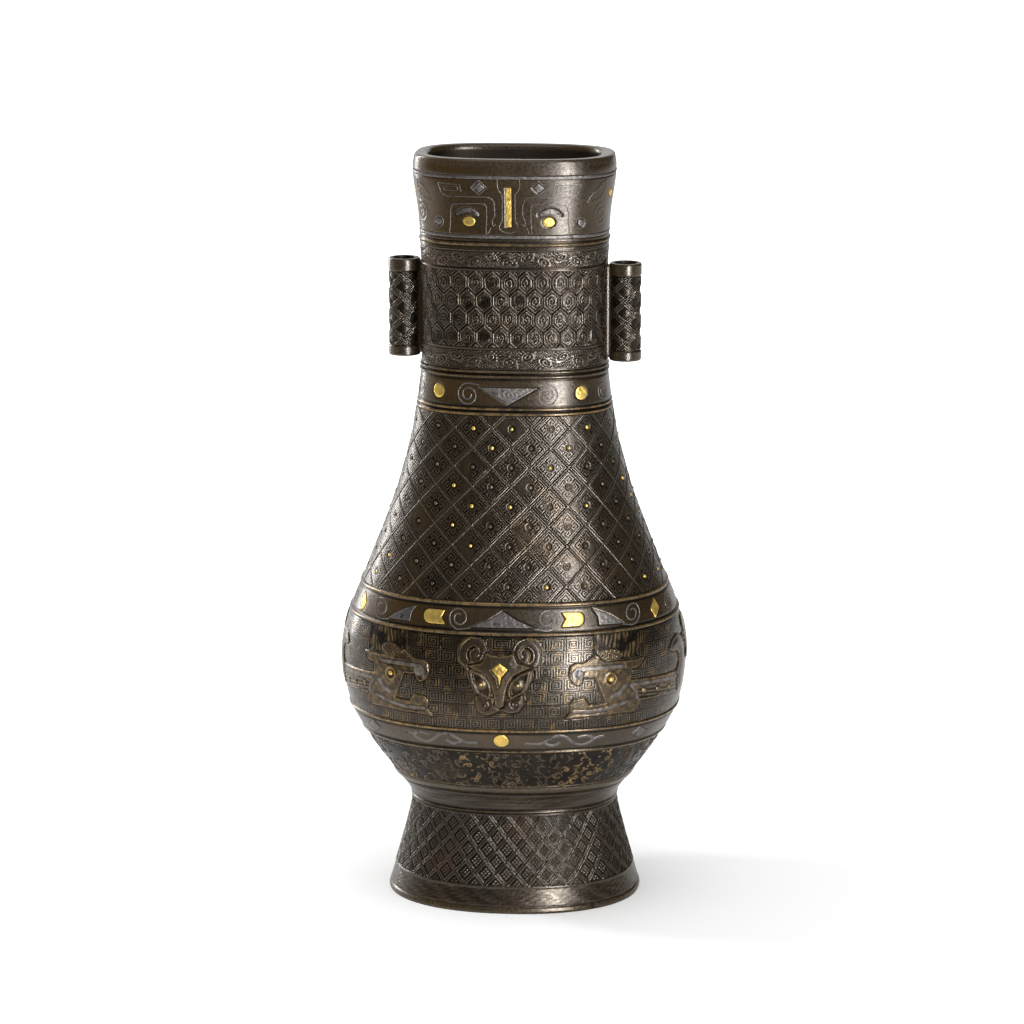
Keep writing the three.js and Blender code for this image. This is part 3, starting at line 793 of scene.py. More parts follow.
def wave_band_shape(r):
    """Short arcs and dots at every angle, worn, with gilding left in patches"""
    ground(r, -0.35)
    columns, tall = 84, 2.9
    width = 4 * r.quarter / columns
    table = np.random.default_rng(3).uniform(0, 1, (columns, 12, 5))
    cell_x, cell_z = np.floor(r.way * columns).astype(int), np.floor((r.z - 49) / tall).astype(int)
    mask = np.zeros(r.u.shape)
    for step_x in (-1, 0, 1):
        for step_z in (-1, 0, 1):
            i, j = cell_x + step_x, cell_z + step_z
            t = table[i % columns, j % 12]
            dx = (r.way * columns - i - 0.2 - 0.6 * t[..., 0]) * width
            dz = r.z - 49 - (j + 0.2 + 0.6 * t[..., 1]) * tall
            angle = t[..., 2] * 2 * math.pi
            along = dx * np.cos(angle) + dz * np.sin(angle)
            off = dz * np.cos(angle) - dx * np.sin(angle)
            size = 1.3 + 1.3 * t[..., 4]
            bow = np.abs(np.hypot(along, off + size) - size)
            arc = bead(bow, 0.3) * (1 - ease(1.0, 2.1, np.abs(along))) * (off > -size)
            hook = bead(np.hypot(along - 1.0, off + 0.9) - 0.75, 0.26)
            dot = bead(np.hypot(along - 0.4, off - 1.0), 0.42)
            kind = t[..., 3]
            dotted = np.where(kind > 0.3, np.maximum(arc, dot), dot)
            form = np.where(kind > 0.72, np.maximum(arc, hook), dotted)
            mask = np.maximum(mask, form)
    patches = ease(0.3, 1.0, waves(r.way * 300, r.z, 30, 8) + 1.1 * np.exp(-((r.u - 30) / 13) ** 2))
    lines(r, mask, 0.02, wear=0.3, gilt=0)
    r.cover(mask, gilt=0.12 + 0.88 * patches)
    r.cover(bead(r.z - 51.9, 0.3), 0.1, gilt=0.3, grime=0)


def stem_shape(r):
    """The turned stem, streaked and rubbed, with its ring"""
    streak = waves(r.u * 0.07, r.z, 1.1, 21)
    fine = waves(r.u * 0.2, r.z * 1.6, 0.8, 23)
    rubbed = np.exp(-((r.u - 12) / 13) ** 2) * ease(40, 42, r.z) * ease(-47, -45, -r.z)
    r.height += 0.07 * streak + rubbed * 0.16 * np.clip(fine, 0, 1)
    r.marks["wear"][:] = np.clip(0.15 + 0.3 * streak + rubbed * fine, 0, 1)
    r.marks["grime"][:] = np.clip(0.3 - 0.3 * streak, 0, 1)
    r.cover(bead(r.z - 48.0, 0.4), -0.35, grime=1, wear=0)
    r.cover(bead(r.z - 50.0, 1.1), 0.55, grime=0, wear=0.6, gilt=0.1)
    r.cover(bead(r.z - 46.9, 0.3), 0.15, wear=0.4)
    r.ridge(39.7, half=0.3, height=0.3, gilt=0.3, wear=0.5)


FOOT_LOZENGE = (4.2, 4.65)
FOOT_PATTERN_FROM = 10.3


def foot_shape(r):
    """Small lozenges with nine dots in each, over a plain spreading edge"""
    ground(r, -0.4)
    a, b = FOOT_LOZENGE
    x, y = np.abs(r.u), r.z - 24.6
    scale = r.quarter / 70
    across = (x / a / scale + y / b + 1) % 2 - 1
    along = (y / b - x / a / scale + 1) % 2 - 1
    reach = a * b / math.hypot(a, b)
    edge = (1 - np.maximum(np.abs(across), np.abs(along))) * reach
    slant = np.abs(across) > np.abs(along)
    r.trace(edge / 0.9, 1.0 * (edge < 0.85), np.where(slant, 0.06, -0.06), -0.36,
            wear=np.where(slant, 0.9, 0.4), grime=0)
    for i in (-1, 0, 1):
        for j in (-1, 0, 1):
            dot = np.hypot((across - i * 0.36) * reach, (along - j * 0.36) * reach)
            lines(r, bead(dot, 0.34), 0.02, wear=0.8, grime=0)
    plain = 1 - ease(FOOT_PATTERN_FROM, FOOT_PATTERN_FROM + 0.4, r.z)
    r.cover(plain, -0.2, grime=0.6, wear=0.2)
    streak = waves(r.way * 22, r.z + 0.2 * waves(r.way * 90, r.z, 3, 32), 0.5, 31)
    lines(r, ease(-0.3, 0.6, streak) * plain, -0.13, wear=0.4)
    r.cover(bead(r.z - FOOT_PATTERN_FROM, 0.4), 0.08, grime=0.1, wear=0.6)
    r.cover(1 - ease(2.3, 2.7, r.z), 0.0, grime=0.2, wear=0.4, gilt=0.12)
    r.add(bead(r.z - 2.6, 0.3), -0.25)
    r.add(1 - ease(0.0, 0.9, r.z), -0.5)
    r.cover(bead(r.z - 38.3, 0.3), 0.05, grime=0.3)
    dent = np.hypot((r.u - 36.5) / 2.0, (r.z - 1.0) / 2.2)
    r.add(1 - ease(0.0, 1.3, dent), -0.25)
    r.cover(1 - ease(0.3, 1.1, dent), grime=0.9)


# Inlays: outlines round their own middle, and where they sit


def ellipse(width, height, points=40):
    return [(width / 2 * math.cos(2 * math.pi * k / points), height / 2 * math.sin(2 * math.pi * k / points))
            for k in range(points)]


def lozenge(width, height):
    return [(width / 2, 0), (0, height / 2), (-width / 2, 0), (0, -height / 2)]


def bar(width, height):
    x, y = width / 2, height / 2
    return [(-x, -y), (x, -y), (x, y), (-x, y)]


def swallowtail(length, height):
    radius = height / 2
    centre = length / 2 - radius
    turns = np.linspace(-math.pi / 2, math.pi / 2, 13)
    tips = [(-length / 2, radius), (-length / 2 + 1.5, 0.15), (-length / 2, -radius)]
    return [(centre + radius * math.cos(t), radius * math.sin(t)) for t in turns] + tips


def crescent(width, thick, rise):
    x = np.linspace(-1, 1, 15)
    top = [(width / 2 * t, rise * (1 - t * t) + thick / 2) for t in x]
    return [(a, b - thick) for a, b in top] + top[::-1]


def plates(*rows):
    """Rows of (CAD name, metal, u, z, outline, paired) as single plates with signed places"""
    made = []
    for name, metal, u, z, outline, paired in rows:
        if not paired:
            made.append((name, metal, u, z, outline))
            continue
        side, other = ("right", "left") if u > 0 else ("left", "right")
        made.append((f"{name}_{side}", metal, u, z, outline))
        made.append((f"{name}_{other}", metal, -u, z, flipped(outline)[::-1]))
    return made


MOUTH_PLATES = plates(
    ("gold_mask_bar", "gold", 0, 281.3, bar(2.1, 15.6), False),
    ("gold_mask_eye", "gold", 15.6, 275.5, ellipse(4.8, 3.8), True),
    ("gold_side_lozenge", "gold", 46, 285.5, lozenge(4.4, 3.6), True),
    ("silver_mouth_lozenge", "silver", 11.7, 289, lozenge(5, 4.2), True),
    ("brow", "silver", -16.2, 278.2, crescent(9.2, 1.1, 2.2), True),
    ("dot", "silver", -28.6, 274.9, ellipse(2.9, 2.9, 24), True),
)
NECK_PLATES = plates(
    ("gold_neck_roundel", "gold", 29.2, 207.6, ellipse(5.2, 5.4), True),
    ("silver_neck_triangle", "silver", 0, 207.4, [(0, -4), (11.6, 2.6), (-11.6, 2.6)], False),
)
SHOULDER_PLATES = plates(
    ("gold_swallowtail", "gold", 27.6, 122.5, swallowtail(8.9, 5.2), True),
    ("gold_shoulder_diamond", "gold", 66.9, 122.3, lozenge(6, 7.2), True),
    ("silver_shoulder_triangle", "silver", 0, 121.8,
     [(-12.8, -2.3), (12.8, -2.3), (5.4, 0.6), (0, 3.8), (-5.4, 0.6)], False),
    ("silver_leaf", "silver", 42.5, 122.4,
     [(-7.3, 3.6), (-4.9, 0.8), (-4.2, -2.6), (6.8, -2.9), (0, 1)], True),
)
MASK_PLATES = plates(
    ("gold_forehead_kite", "gold", -0.7, 101.8,
     [(0, -4.5), (0.7, -0.9), (3.2, 2.0), (0, 4.5), (-3.2, 2.0), (-0.7, -0.9)], False),
)
LOWER_PLATES = plates(
    ("gold_lower_dot", "gold", -0.4, 74.1, ellipse(5.9, 5.3), False),
    ("silver_lower_diamond", "silver", 58, 74, lozenge(8.5, 5.6), True),
)


def seats(r, group, depth=0.0):
    """Cuts the recesses that a group of plates lies in, on both faces"""
    for _, _, u, z, outline in group:
        near = (np.abs(r.u - u) < 16) & (np.abs(r.z - z) < 12)
        if not near.any():
            continue
        gap = np.full(r.u.shape, 9.0)
        gap[near] = outline_gap(r.u[near], r.z[near], shifted(outline, u, z))
        r.cover(1 - ease(0.0, 0.4, gap), depth - 0.3, grime=1, wear=0)


PLATE_DOME = 0.22
PLATE_THICK = 0.4


def plate_form(outline, u, z, turned, lift):
    """A let-in plate with a soft edge and a hammered face"""
    dense = []
    for (x0, y0), (x1, y1) in zip(outline, outline[1:] + outline[:1]):
        count = max(int(math.hypot(x1 - x0, y1 - y0) / 0.4), 1)
        dense += [(x0 + (x1 - x0) * k / count, y0 + (y1 - y0) * k / count) for k in range(count)]
    rim = np.array(dense)
    centre = rim.mean(axis=0)
    size = np.abs(rim - centre).max()
    inner = max(int(size / 0.45), 4)
    fades = [1.0, 1 - 0.12 / size, 1 - 0.35 / size, *np.linspace(1 - 0.7 / size, 0.03, inner)]
    rows, outs = [], []
    for fade in [fades[-1], *([0.5] if size > 3 else []), 1.0]:
        rows.append(centre + (rim - centre) * fade)
        outs.append(np.full(len(rim), lift - PLATE_THICK))
    for fade in fades:
        at = centre + (rim - centre) * fade
        gap = (1 - fade) * size
        hammer = 0.035 * waves(at[:, 0], at[:, 1], 1.3, int(abs(u) * 10 + z))
        rows.append(at)
        outs.append(lift + 0.02 + PLATE_DOME * (1 - math.exp(-gap / 0.3)) + hammer * min(gap, 1))
    at = np.array(rows)
    points, _ = WALL_TABLE.at(u + at[..., 0], z + at[..., 1], np.array(outs), turned)
    return points, capped(rows)


# Materials


def put(tree, socket, value):
    """Links an output to a socket, or sets the socket's own value"""
    if isinstance(value, bpy.types.NodeSocket):
        tree.links.new(value, socket)
    else:
        socket.default_value = value


def add_node(tree, kind, inputs=None, **settings):
    """A new node with its settings, and with a value or an output in each input that is named"""
    node = tree.nodes.new(kind)
    for key, value in settings.items():
        setattr(node, key, value)
    for key, value in (inputs or {}).items():
        put(tree, node.inputs[key], value)
    return node


def cleared(owner):
    """The emptied node tree of a material or a world"""
    owner.use_nodes = True
    owner.node_tree.nodes.clear()
    return owner.node_tree


class Paint:
    """A node material under construction"""

    def __init__(self, name):
        self.material = bpy.data.materials.new(name)
        self.tree = cleared(self.material)
        self.shader = self.add("ShaderNodeBsdfPrincipled")
        self.add("ShaderNodeOutputMaterial", {"Surface": self.shader.outputs["BSDF"]})
        self.place = self.add("ShaderNodeTexCoord").outputs["Object"]

    def add(self, kind, inputs=None, **settings):
        return add_node(self.tree, kind, inputs, **settings)

    def noise(self, scale, detail=4.0, roughness=0.55, stretch=None):
        place = self.place
        if stretch:
            place = self.add("ShaderNodeMapping", {"Vector": place, "Scale": stretch}).outputs["Vector"]
        inputs = {"Vector": place, "Scale": scale, "Detail": detail, "Roughness": roughness}
        return self.add("ShaderNodeTexNoise", inputs).outputs["Fac"]

    def cells(self, scale, feature="F1", smooth=0.5):
        node = self.add("ShaderNodeTexVoronoi", {"Vector": self.place, "Scale": scale}, feature=feature)
        if feature == "SMOOTH_F1":
            node.inputs["Smoothness"].default_value = smooth
        return node.outputs["Distance"]

    def span(self, value, low, high, to_low=0.0, to_high=1.0):
        inputs = {"Value": value, "From Min": low, "From Max": high, "To Min": to_low, "To Max": to_high}
        return self.add("ShaderNodeMapRange", inputs, interpolation_type="SMOOTHSTEP").outputs["Result"]

    def sum(self, kind, a, b):
        """A sum, product or the like of two values, kept between 0 and 1"""
        return self.add("ShaderNodeMath", {0: a, 1: b}, operation=kind, use_clamp=True).outputs[0]

    def blend(self, share, a, b):
        """The first colour where share is 0, and the second where it is 1"""
        return self.add("ShaderNodeMix", {0: share, 6: a, 7: b}, data_type="RGBA").outputs[2]

    def mark(self, name):
        return self.add("ShaderNodeAttribute", attribute_name=name, attribute_type="GEOMETRY").outputs["Fac"]

    def bumps(self, *layers):
        """Bump nodes one after another, each of (height, strength, distance in metres)"""
        normal = None
        for height, strength, distance in layers:
            node = self.add("ShaderNodeBump", {"Height": height, "Strength": strength, "Distance": distance})
            if normal is not None:
                put(self.tree, node.inputs["Normal"], normal)
            normal = node.outputs["Normal"]
        put(self.tree, self.shader.inputs["Normal"], normal)

    def finish(self, **values):
        for key, value in values.items():
            put(self.tree, self.shader.inputs[key.replace("_", " ")], value)
        return self.material


def scaled(colour, factor):
    return (*(min(c * factor, 1.0) for c in colour[:3]), 1.0)


def bronze_material(name, colours):
    """Patina over rubbed bronze, with the marks of the relief, the lines drawn finer than the mesh, and a
    painted highlight on those lines' crests
    """
    paint = Paint(name)
    wear, gilt, silver, grime, inside, drawn, line_cos, line_sin = (paint.mark(m) for m in Relief.MARKS)
    phase = paint.add("ShaderNodeCombineXYZ", {"X": line_cos, "Y": line_sin}).outputs[0]
    phase = paint.add("ShaderNodeVectorMath", {0: phase}, operation="NORMALIZE").outputs[0]
    line = paint.span(paint.add("ShaderNodeSeparateXYZ", {0: phase}).outputs[0], 0.0, 0.75, 1.0, 0.0)
    groove = paint.sum("MULTIPLY", drawn, paint.sum("SUBTRACT", 1.0, line))
    crest_and_highlight = paint.sum("MULTIPLY", drawn, line)
    broad = paint.noise(22, 3)
    middle = paint.noise(140, 5, 0.6)
    fine = paint.noise(900, 4, 0.65)
    streak = paint.noise(60, 4, 0.6, stretch=(1.0, 1.0, 9.0))
    brown = tuple(colours.bronze)
    tone = paint.blend(paint.span(broad, 0.35, 0.65), scaled(brown, 0.75), scaled(brown, 1.25))
    tone = paint.blend(paint.span(middle, 0.5, 0.78), tone, tuple(colours.bronze_light))
    tone = paint.blend(paint.sum("MULTIPLY", paint.span(streak, 0.55, 0.8), 0.4), tone, scaled(brown, 0.45))
    tone = paint.blend(paint.sum("MULTIPLY", paint.span(fine, 0.58, 0.72), 0.5), tone, scaled(brown, 0.3))
    rubbed = paint.sum("MULTIPLY", wear, paint.span(fine, 0.3, 0.7, 0.35, 1.0))
    tone = paint.blend(rubbed, tone, tuple(colours.bronze_rubbed_and_highlight))
    # Painted highlight: the crests of the lines drawn by the material are lightened with the rubbed colour at
    # 1.8 times its strength
    tone = paint.blend(paint.sum("MULTIPLY", crest_and_highlight, 0.35), tone, scaled(colours.bronze_rubbed_and_highlight, 1.8))
    thick = paint.sum("MULTIPLY", grime, paint.span(middle, 0.3, 0.7, 0.75, 1.0))
    thick = paint.sum("MAXIMUM", thick, groove)
    tone = paint.blend(thick, tone, tuple(colours.grime))
    rust = paint.sum("MULTIPLY", grime, paint.span(paint.noise(45, 4, 0.6), 0.56, 0.72, 0.0, 0.75))
    tone = paint.blend(rust, tone, tuple(colours.rust))
    kept = paint.sum("MULTIPLY", gilt, paint.span(paint.noise(320, 5, 0.7), 0.38, 0.6, 0.15, 1.0))
    tone = paint.blend(kept, tone, tuple(colours.gilding))
    plated = paint.sum("MULTIPLY", silver, paint.span(paint.noise(260, 4, 0.7), 0.38, 0.6, 0.2, 1.0))
    tone = paint.blend(plated, tone, scaled(colours.silver, 0.9))
    green = paint.sum("MULTIPLY", inside, paint.span(paint.noise(80, 5, 0.65), 0.42, 0.6, 0.1, 1.0))
    tone = paint.blend(green, tone, tuple(colours.verdigris))
    rough = paint.span(fine, 0.3, 0.7, 0.17, 0.29)
    rough = paint.sum("SUBTRACT", rough, paint.sum("MULTIPLY", wear, 0.03))
    rough = paint.sum("ADD", rough, paint.sum("MULTIPLY", grime, 0.03))
    rough = paint.sum("ADD", rough, paint.sum("MULTIPLY", inside, 0.2))
    rough = paint.sum("ADD", rough, paint.sum("MULTIPLY", paint.sum("SUBTRACT", 1.0, drawn), 0.07))
    rough = paint.sum("ADD", rough, paint.sum("MULTIPLY", silver, 0.1))
    pits = paint.span(paint.cells(650), 0.0, 0.22)
    scratch = paint.noise(420, 3, 0.6, stretch=(1.0, 1.0, 11.0))
    metal = paint.sum("MAXIMUM", thick, paint.sum("MULTIPLY", inside, 0.6))
    metal = paint.sum("ADD", 0.25, paint.sum("MULTIPLY", metal, 0.6))
    paint.bumps((broad, 0.15, 0.002), (middle, 0.1, 0.0005), (fine, 0.14, 0.0001), (pits, 0.12, 0.0001),
                (scratch, 0.15, 0.0002), (crest_and_highlight, 0.25, 0.0001))
    return paint.finish(Base_Color=tone, Roughness=rough, Metallic=metal, IOR=1.72)


def gold_material(name, colours):
    """Hammered gold with darker specks"""
    paint = Paint(name)
    fine, middle = paint.noise(1500, 5, 0.7), paint.noise(420, 4, 0.6)
    scratch = paint.noise(700, 3, 0.6, stretch=(1.0, 1.0, 7.0))
    gold = tuple(colours.gold)
    tone = paint.blend(paint.span(middle, 0.35, 0.65), scaled(gold, 0.78), gold)
    tone = paint.blend(paint.span(fine, 0.55, 0.75), tone, scaled(gold, 0.5))
    rough = paint.span(middle, 0.3, 0.7, 0.3, 0.46)
    paint.bumps((paint.cells(800, "SMOOTH_F1"), 0.35, 0.0003), (fine, 0.3, 0.0001), (scratch, 0.2, 0.0001))
    return paint.finish(Base_Color=tone, Roughness=rough, Metallic=0.75)


def silver_material(name, colours):
    """Hammered silver with patches of black tarnish"""
    paint = Paint(name)
    fine, middle = paint.noise(1300, 5, 0.7), paint.noise(300, 5, 0.65)
    silver = tuple(colours.silver)
    tone = paint.blend(paint.span(fine, 0.4, 0.7), silver, scaled(silver, 0.55))
    tone = paint.blend(paint.span(paint.noise(90, 3), 0.4, 0.65, 0, 0.6), tone, scaled(silver, 0.6))
    black = paint.span(middle, 0.55, 0.66, 0, 0.8)
    tone = paint.blend(black, tone, tuple(colours.tarnish))
    rough = paint.span(middle, 0.35, 0.65, 0.36, 0.52)
    hatch = paint.noise(900, 3, 0.6, stretch=(1.0, 1.0, 5.0))
    paint.bumps((paint.cells(700, "SMOOTH_F1"), 0.25, 0.0003), (hatch, 0.3, 0.00015), (fine, 0.2, 0.0001))
    return paint.finish(Base_Color=tone, Roughness=rough, Metallic=0.75)


def material_of(name):
    """The vase's materials, each made once"""
    makers = {
        "patinated_bronze": ("old bronze", bronze_material),
        "gold_inlay": ("hammered gold", gold_material),
        "silver_inlay": ("tarnished silver", silver_material),
    }
    label, make = makers[name]
    return bpy.data.materials.get(label) or make(label, bpy.context.scene.vase_colours)


# Geometry Nodes


def new_tree(name):
    tree = bpy.data.node_groups.new(name, "GeometryNodeTree")
    tree.interface.new_socket("Geometry", in_out="OUTPUT", socket_type="NodeSocketGeometry")
    tree.interface.new_socket("Geometry", in_out="INPUT", socket_type="NodeSocketGeometry")
    return tree


def tree_input(tree, name, kind, default):
    socket = tree.interface.new_socket(name, in_out="INPUT", socket_type=kind)
    if default is not None:
        socket.default_value = default
    return socket


def chain(tree, *kinds):
    """Nodes in a row, each fed by the last one's geometry"""
    made = []
    for kind in kinds:
        made.append(add_node(tree, kind, {0: made[-1].outputs[0]} if made else None))
    return made


def wire_tree():
    """A round wire along each path of edges"""
    tree = new_tree("Let-in wire")
    tree_input(tree, "Radius", "NodeSocketFloat", 0.0004)
    tree_input(tree, "Sides", "NodeSocketInt", 8)
    tree_input(tree, "Material", "NodeSocketMaterial", None)
    start, _, mesh, _, _, paint, _ = chain(
        tree, "NodeGroupInput", "GeometryNodeMeshToCurve", "GeometryNodeCurveToMesh",
        "GeometryNodeSetShadeSmooth", "GeometryNodeRealizeInstances", "GeometryNodeSetMaterial",
        "NodeGroupOutput",
    )
    sizes = {"Radius": start.outputs["Radius"], "Resolution": start.outputs["Sides"]}
    circle = add_node(tree, "GeometryNodeCurvePrimitiveCircle", sizes)
    put(tree, mesh.inputs["Profile Curve"], circle.outputs["Curve"])
    put(tree, mesh.inputs["Fill Caps"], True)
    put(tree, paint.inputs["Material"], start.outputs["Material"])
    return tree


def stud_tree():
    """A domed stud on each point, turned to face out of the wall"""
    tree = new_tree("Domed studs")
    tree_input(tree, "Radius", "NodeSocketFloat", 0.001)
    tree_input(tree, "Flatness", "NodeSocketFloat", 0.75)
    tree_input(tree, "Seed", "NodeSocketInt", 4)
    tree_input(tree, "Material", "NodeSocketMaterial", None)
    start, dots, _, _, paint, _ = chain(
        tree, "NodeGroupInput", "GeometryNodeInstanceOnPoints", "GeometryNodeRealizeInstances",
        "GeometryNodeSetShadeSmooth", "GeometryNodeSetMaterial", "NodeGroupOutput",
    )
    sizes = {"Segments": 10, "Rings": 6, "Radius": start.outputs["Radius"]}
    ball = add_node(tree, "GeometryNodeMeshUVSphere", sizes).outputs["Mesh"]
    shape = add_node(tree, "ShaderNodeCombineXYZ", {"X": 1, "Y": 1, "Z": start.outputs["Flatness"]}).outputs[0]
    flat = add_node(tree, "GeometryNodeTransform", {"Geometry": ball, "Scale": shape})
    facing = add_node(tree, "GeometryNodeInputNamedAttribute", {"Name": "facing"}, data_type="FLOAT_VECTOR")
    ahead = {"Vector": facing.outputs["Attribute"]}
    turn = add_node(tree, "FunctionNodeAlignRotationToVector", ahead, axis="Z")
    # Each stud has a size of its own, from 0.85 to 1.12 of the radius
    span = {2: 0.85, 3: 1.12, "Seed": start.outputs["Seed"]}
    vary = add_node(tree, "FunctionNodeRandomValue", span, data_type="FLOAT")
    put(tree, dots.inputs["Instance"], flat.outputs["Geometry"])
    put(tree, dots.inputs["Rotation"], turn.outputs["Rotation"])
    put(tree, dots.inputs["Scale"], vary.outputs[1])
    put(tree, paint.inputs["Material"], start.outputs["Material"])
    return tree


def grown(name, base, tree, values):
    """The plain mesh that a node tree makes of a base mesh"""
    obj = bpy.data.objects.new(name + "_base", base)
    bpy.context.scene.collection.objects.link(obj)
    modifier = obj.modifiers.new("Form", "NODES")
    modifier.node_group = tree
    for item in tree.interface.items_tree:
        if item.item_type == "SOCKET" and item.in_out == "INPUT" and item.name in values:
            modifier[item.identifier] = values[item.name]
    shown = obj.evaluated_get(bpy.context.evaluated_depsgraph_get())
    mesh = bpy.data.meshes.new_from_object(shown)
    mesh.name = name
    bpy.data.objects.remove(obj)
    return mesh


def wires(name, paths, out, radius):
    """A mesh of wires along (u, z) paths, on both faces"""
    points, edges = [], []
    for turned in (False, True):
        for path in paths:
            first = len(points)
            u, z = np.array(path, float).T
            points += WALL_TABLE.at(u, z, np.full(len(u), out), turned)[0].tolist()
            edges += [(k, k + 1) for k in range(first, len(points) - 1)]
    base = bpy.data.meshes.new(name + "_paths")
    base.from_pydata((np.array(points) * MM).tolist(), edges, [])
    values = {"Radius": radius * MM, "Sides": 8, "Material": material_of("silver_inlay")}
    return grown(name, base, wire_tree(), values)


def studs(name, places, radius, flatness, material, out):
    """A mesh of domed studs at (u, z) places, on both faces"""
    u, z = np.array(places, float).T
    both = [WALL_TABLE.at(u, z, np.full(len(u), out), turned) for turned in (False, True)]
    base = bpy.data.meshes.new(name + "_points")
    base.from_pydata((np.concatenate([p for p, _ in both]) * MM).tolist(), [], [])
    facing = base.attributes.new("facing", "FLOAT_VECTOR", "POINT")
    facing.data.foreach_set("vector", np.concatenate([n for _, n in both]).astype(np.float32).ravel())
    values = {"Radius": radius * MM, "Flatness": flatness, "Seed": 4, "Material": material_of(material)}
    return grown(name, base, stud_tree(), values)


# Settings


class VaseColours(bpy.types.PropertyGroup):
    """Colours of the metals and what lies on them"""

    def colour(name, words, value):
        return bpy.props.FloatVectorProperty(
            name=name, description=words, subtype="COLOR", size=4, min=0, max=1, default=(*value, 1))

    bronze: colour("Bronze", "Brown patina of the smooth bands", (0.045, 0.023, 0.0022))
    bronze_light: colour("Light bronze", "Where the patina is thin", (0.078, 0.045, 0.009))
    # At 1.8 times its strength this colour is also the painted highlight on the crests of the drawn lines
    bronze_rubbed_and_highlight: colour("Rubbed bronze", "Raised lines that hands have rubbed", (0.072, 0.057, 0.038))
    grime: colour("Grime", "What fills the ground between raised lines", (0.0095, 0.007, 0.0045))
    rust: colour("Rust", "Brown bloom on the dark grounds", (0.07, 0.034, 0.012))
    gilding: colour("Gilding", "Gold left on ridges and edges", (0.3, 0.18, 0.05))
    gold: colour("Gold", "Sheet gold of the inlays", (0.90, 0.62, 0.15))
    silver: colour("Silver", "Sheet silver and wire", (0.2, 0.182, 0.17))
    tarnish: colour("Tarnish", "Black patches on the silver", (0.02, 0.021, 0.026))
    verdigris: colour("Verdigris", "Yellow-green bloom inside the neck", (0.034, 0.022, 0.009))


class VaseSizes(bpy.types.PropertyGroup):
    """Sizes of the repeated fittings"""

    def size(name, words, value):
        return bpy.props.FloatProperty(
            name=name, description=words, unit="LENGTH", subtype="DISTANCE", precision=5, min=0, default=value)

    wire_radius: size("Wire radius", "Silver wires of the mouth mask and the spirals", 0.00038)
    stud_radius: size("Stud radius", "Studs in the middle of the lozenges", 0.0008)
    column: size("Relief grid", "Distance between points of the finest relief, round the vase", 0.00029)


def columns_for(z, step):
    """How many columns of about this step a quarter turn has at a height"""
    return max(int(round(float(WALL_TABLE.quarter_at(z)) / step)), 8)


class VaseOperator:
    """What the operators share"""

    bl_options = {"REGISTER"}

    @property
    def bronze(self):
        return material_of("patinated_bronze")

    @property
    def fine(self):
        return bpy.context.scene.vase_sizes.column / MM


# The lip's outline, from the outside over to the inside: height, and depth from the wall
LIP = [
    (297.6, 0.0), (298.6, 0.04), (299.2, 0.2), (299.6, 0.48), (299.85, 0.85), (299.95, 1.3), (300, 2.2),
    (300, 3.2), (299.9, 4.2), (299.6, 5.0), (299.1, 5.5), (298.3, 5.85),
]
STRIP_COLUMNS = 160
STRIP_DEPTH = 0.5


def strip_mesh(name, z):
    """A silver strip let in round the mouth, softly domed and a little uneven"""
    heights = [z - STRIP_HALF, z - STRIP_HALF / 2, z, z + STRIP_HALF / 2, z + STRIP_HALF]
    points, out, u, high, _ = ring(heights, STRIP_COLUMNS)
    lift = np.array([0.0, 0.1, 0.12, 0.1, 0.0])[:, None] + 0.03 * waves(u, high, 2.2, 7)
    inner, inner_out, *_ = ring([z + STRIP_HALF, z - STRIP_HALF], STRIP_COLUMNS)
    return shell(name, [points + out * lift[..., None], inner - inner_out * STRIP_DEPTH], {})


class VASE_OT_mouth(VaseOperator, bpy.types.Operator):
    """Builds the mouth with its rounded lip, and the silver strips round it"""

    bl_idname = "vase.mouth"
    bl_label = "Mouth"

    def execute(self, context):
        heights = rows_between(MOUTH_FROM, LIP_FROM, 0.55, (265.6, *BORDER_STRIPS))
        lining = [(297.4, RIM_WALL), (292, RIM_WALL), (286, RIM_WALL), (276, 5), (266, WALL),
                  (MOUTH_FROM, WALL)]
        band("mouth", heights, columns_for(280, 0.5), rim_shape, lining, 1, self.bronze, LIP)
        for label, z in zip(("lower", "upper"), BORDER_STRIPS):
            name = f"silver_strip_{label}"
            mesh = strip_mesh(name, z)
            piece(name, mesh, material_of("silver_inlay"), "silver_inlay", f"silver_border_{label}")
        return {"FINISHED"}


class VASE_OT_neck(VaseOperator, bpy.types.Operator):
    """Builds the neck with its scrolls and hexagon diaper"""

    bl_idname = "vase.neck"
    bl_label = "Neck"

    def execute(self, context):
        heights = rows_between(NECK_FROM, MOUTH_FROM, self.fine)
        lining = [(z, WALL) for z in (MOUTH_FROM, 250, 232, NECK_FROM)]
        band("neck", heights, columns_for(240, self.fine), neck_shape, lining, 2, self.bronze)
        return {"FINISHED"}


class VASE_OT_plain_bands(VaseOperator, bpy.types.Operator):
    """Builds the three smooth bands that carry inlays, with the ridges on their edges"""

    bl_idname = "vase.plain_bands"
    bl_label = "Smooth bands"

    def execute(self, context):
        rows = [
            ("neck_band", NECK_BAND_FROM, NECK_FROM, (199.6, 201.6, 214.2, 216.1), neck_band_shape, 208),
            ("shoulder_band", SHOULDER_FROM, FIELD_FROM, (117.1, 128.1), shoulder_shape, 123),
            ("lower_plain_band", LOWER_PLAIN_FROM, FRIEZE_FROM, (69.0, 78.5), lower_plain_shape, 74),
        ]
        for name, low, high, fine, shape, middle in rows:
            heights = rows_between(low, high, 0.46, fine)
            lining = [(high, WALL), ((low + high) / 2, WALL), (low, WALL)]
            band(name, heights, columns_for(middle, 0.42), shape, lining, 1, self.bronze)
        return {"FINISHED"}


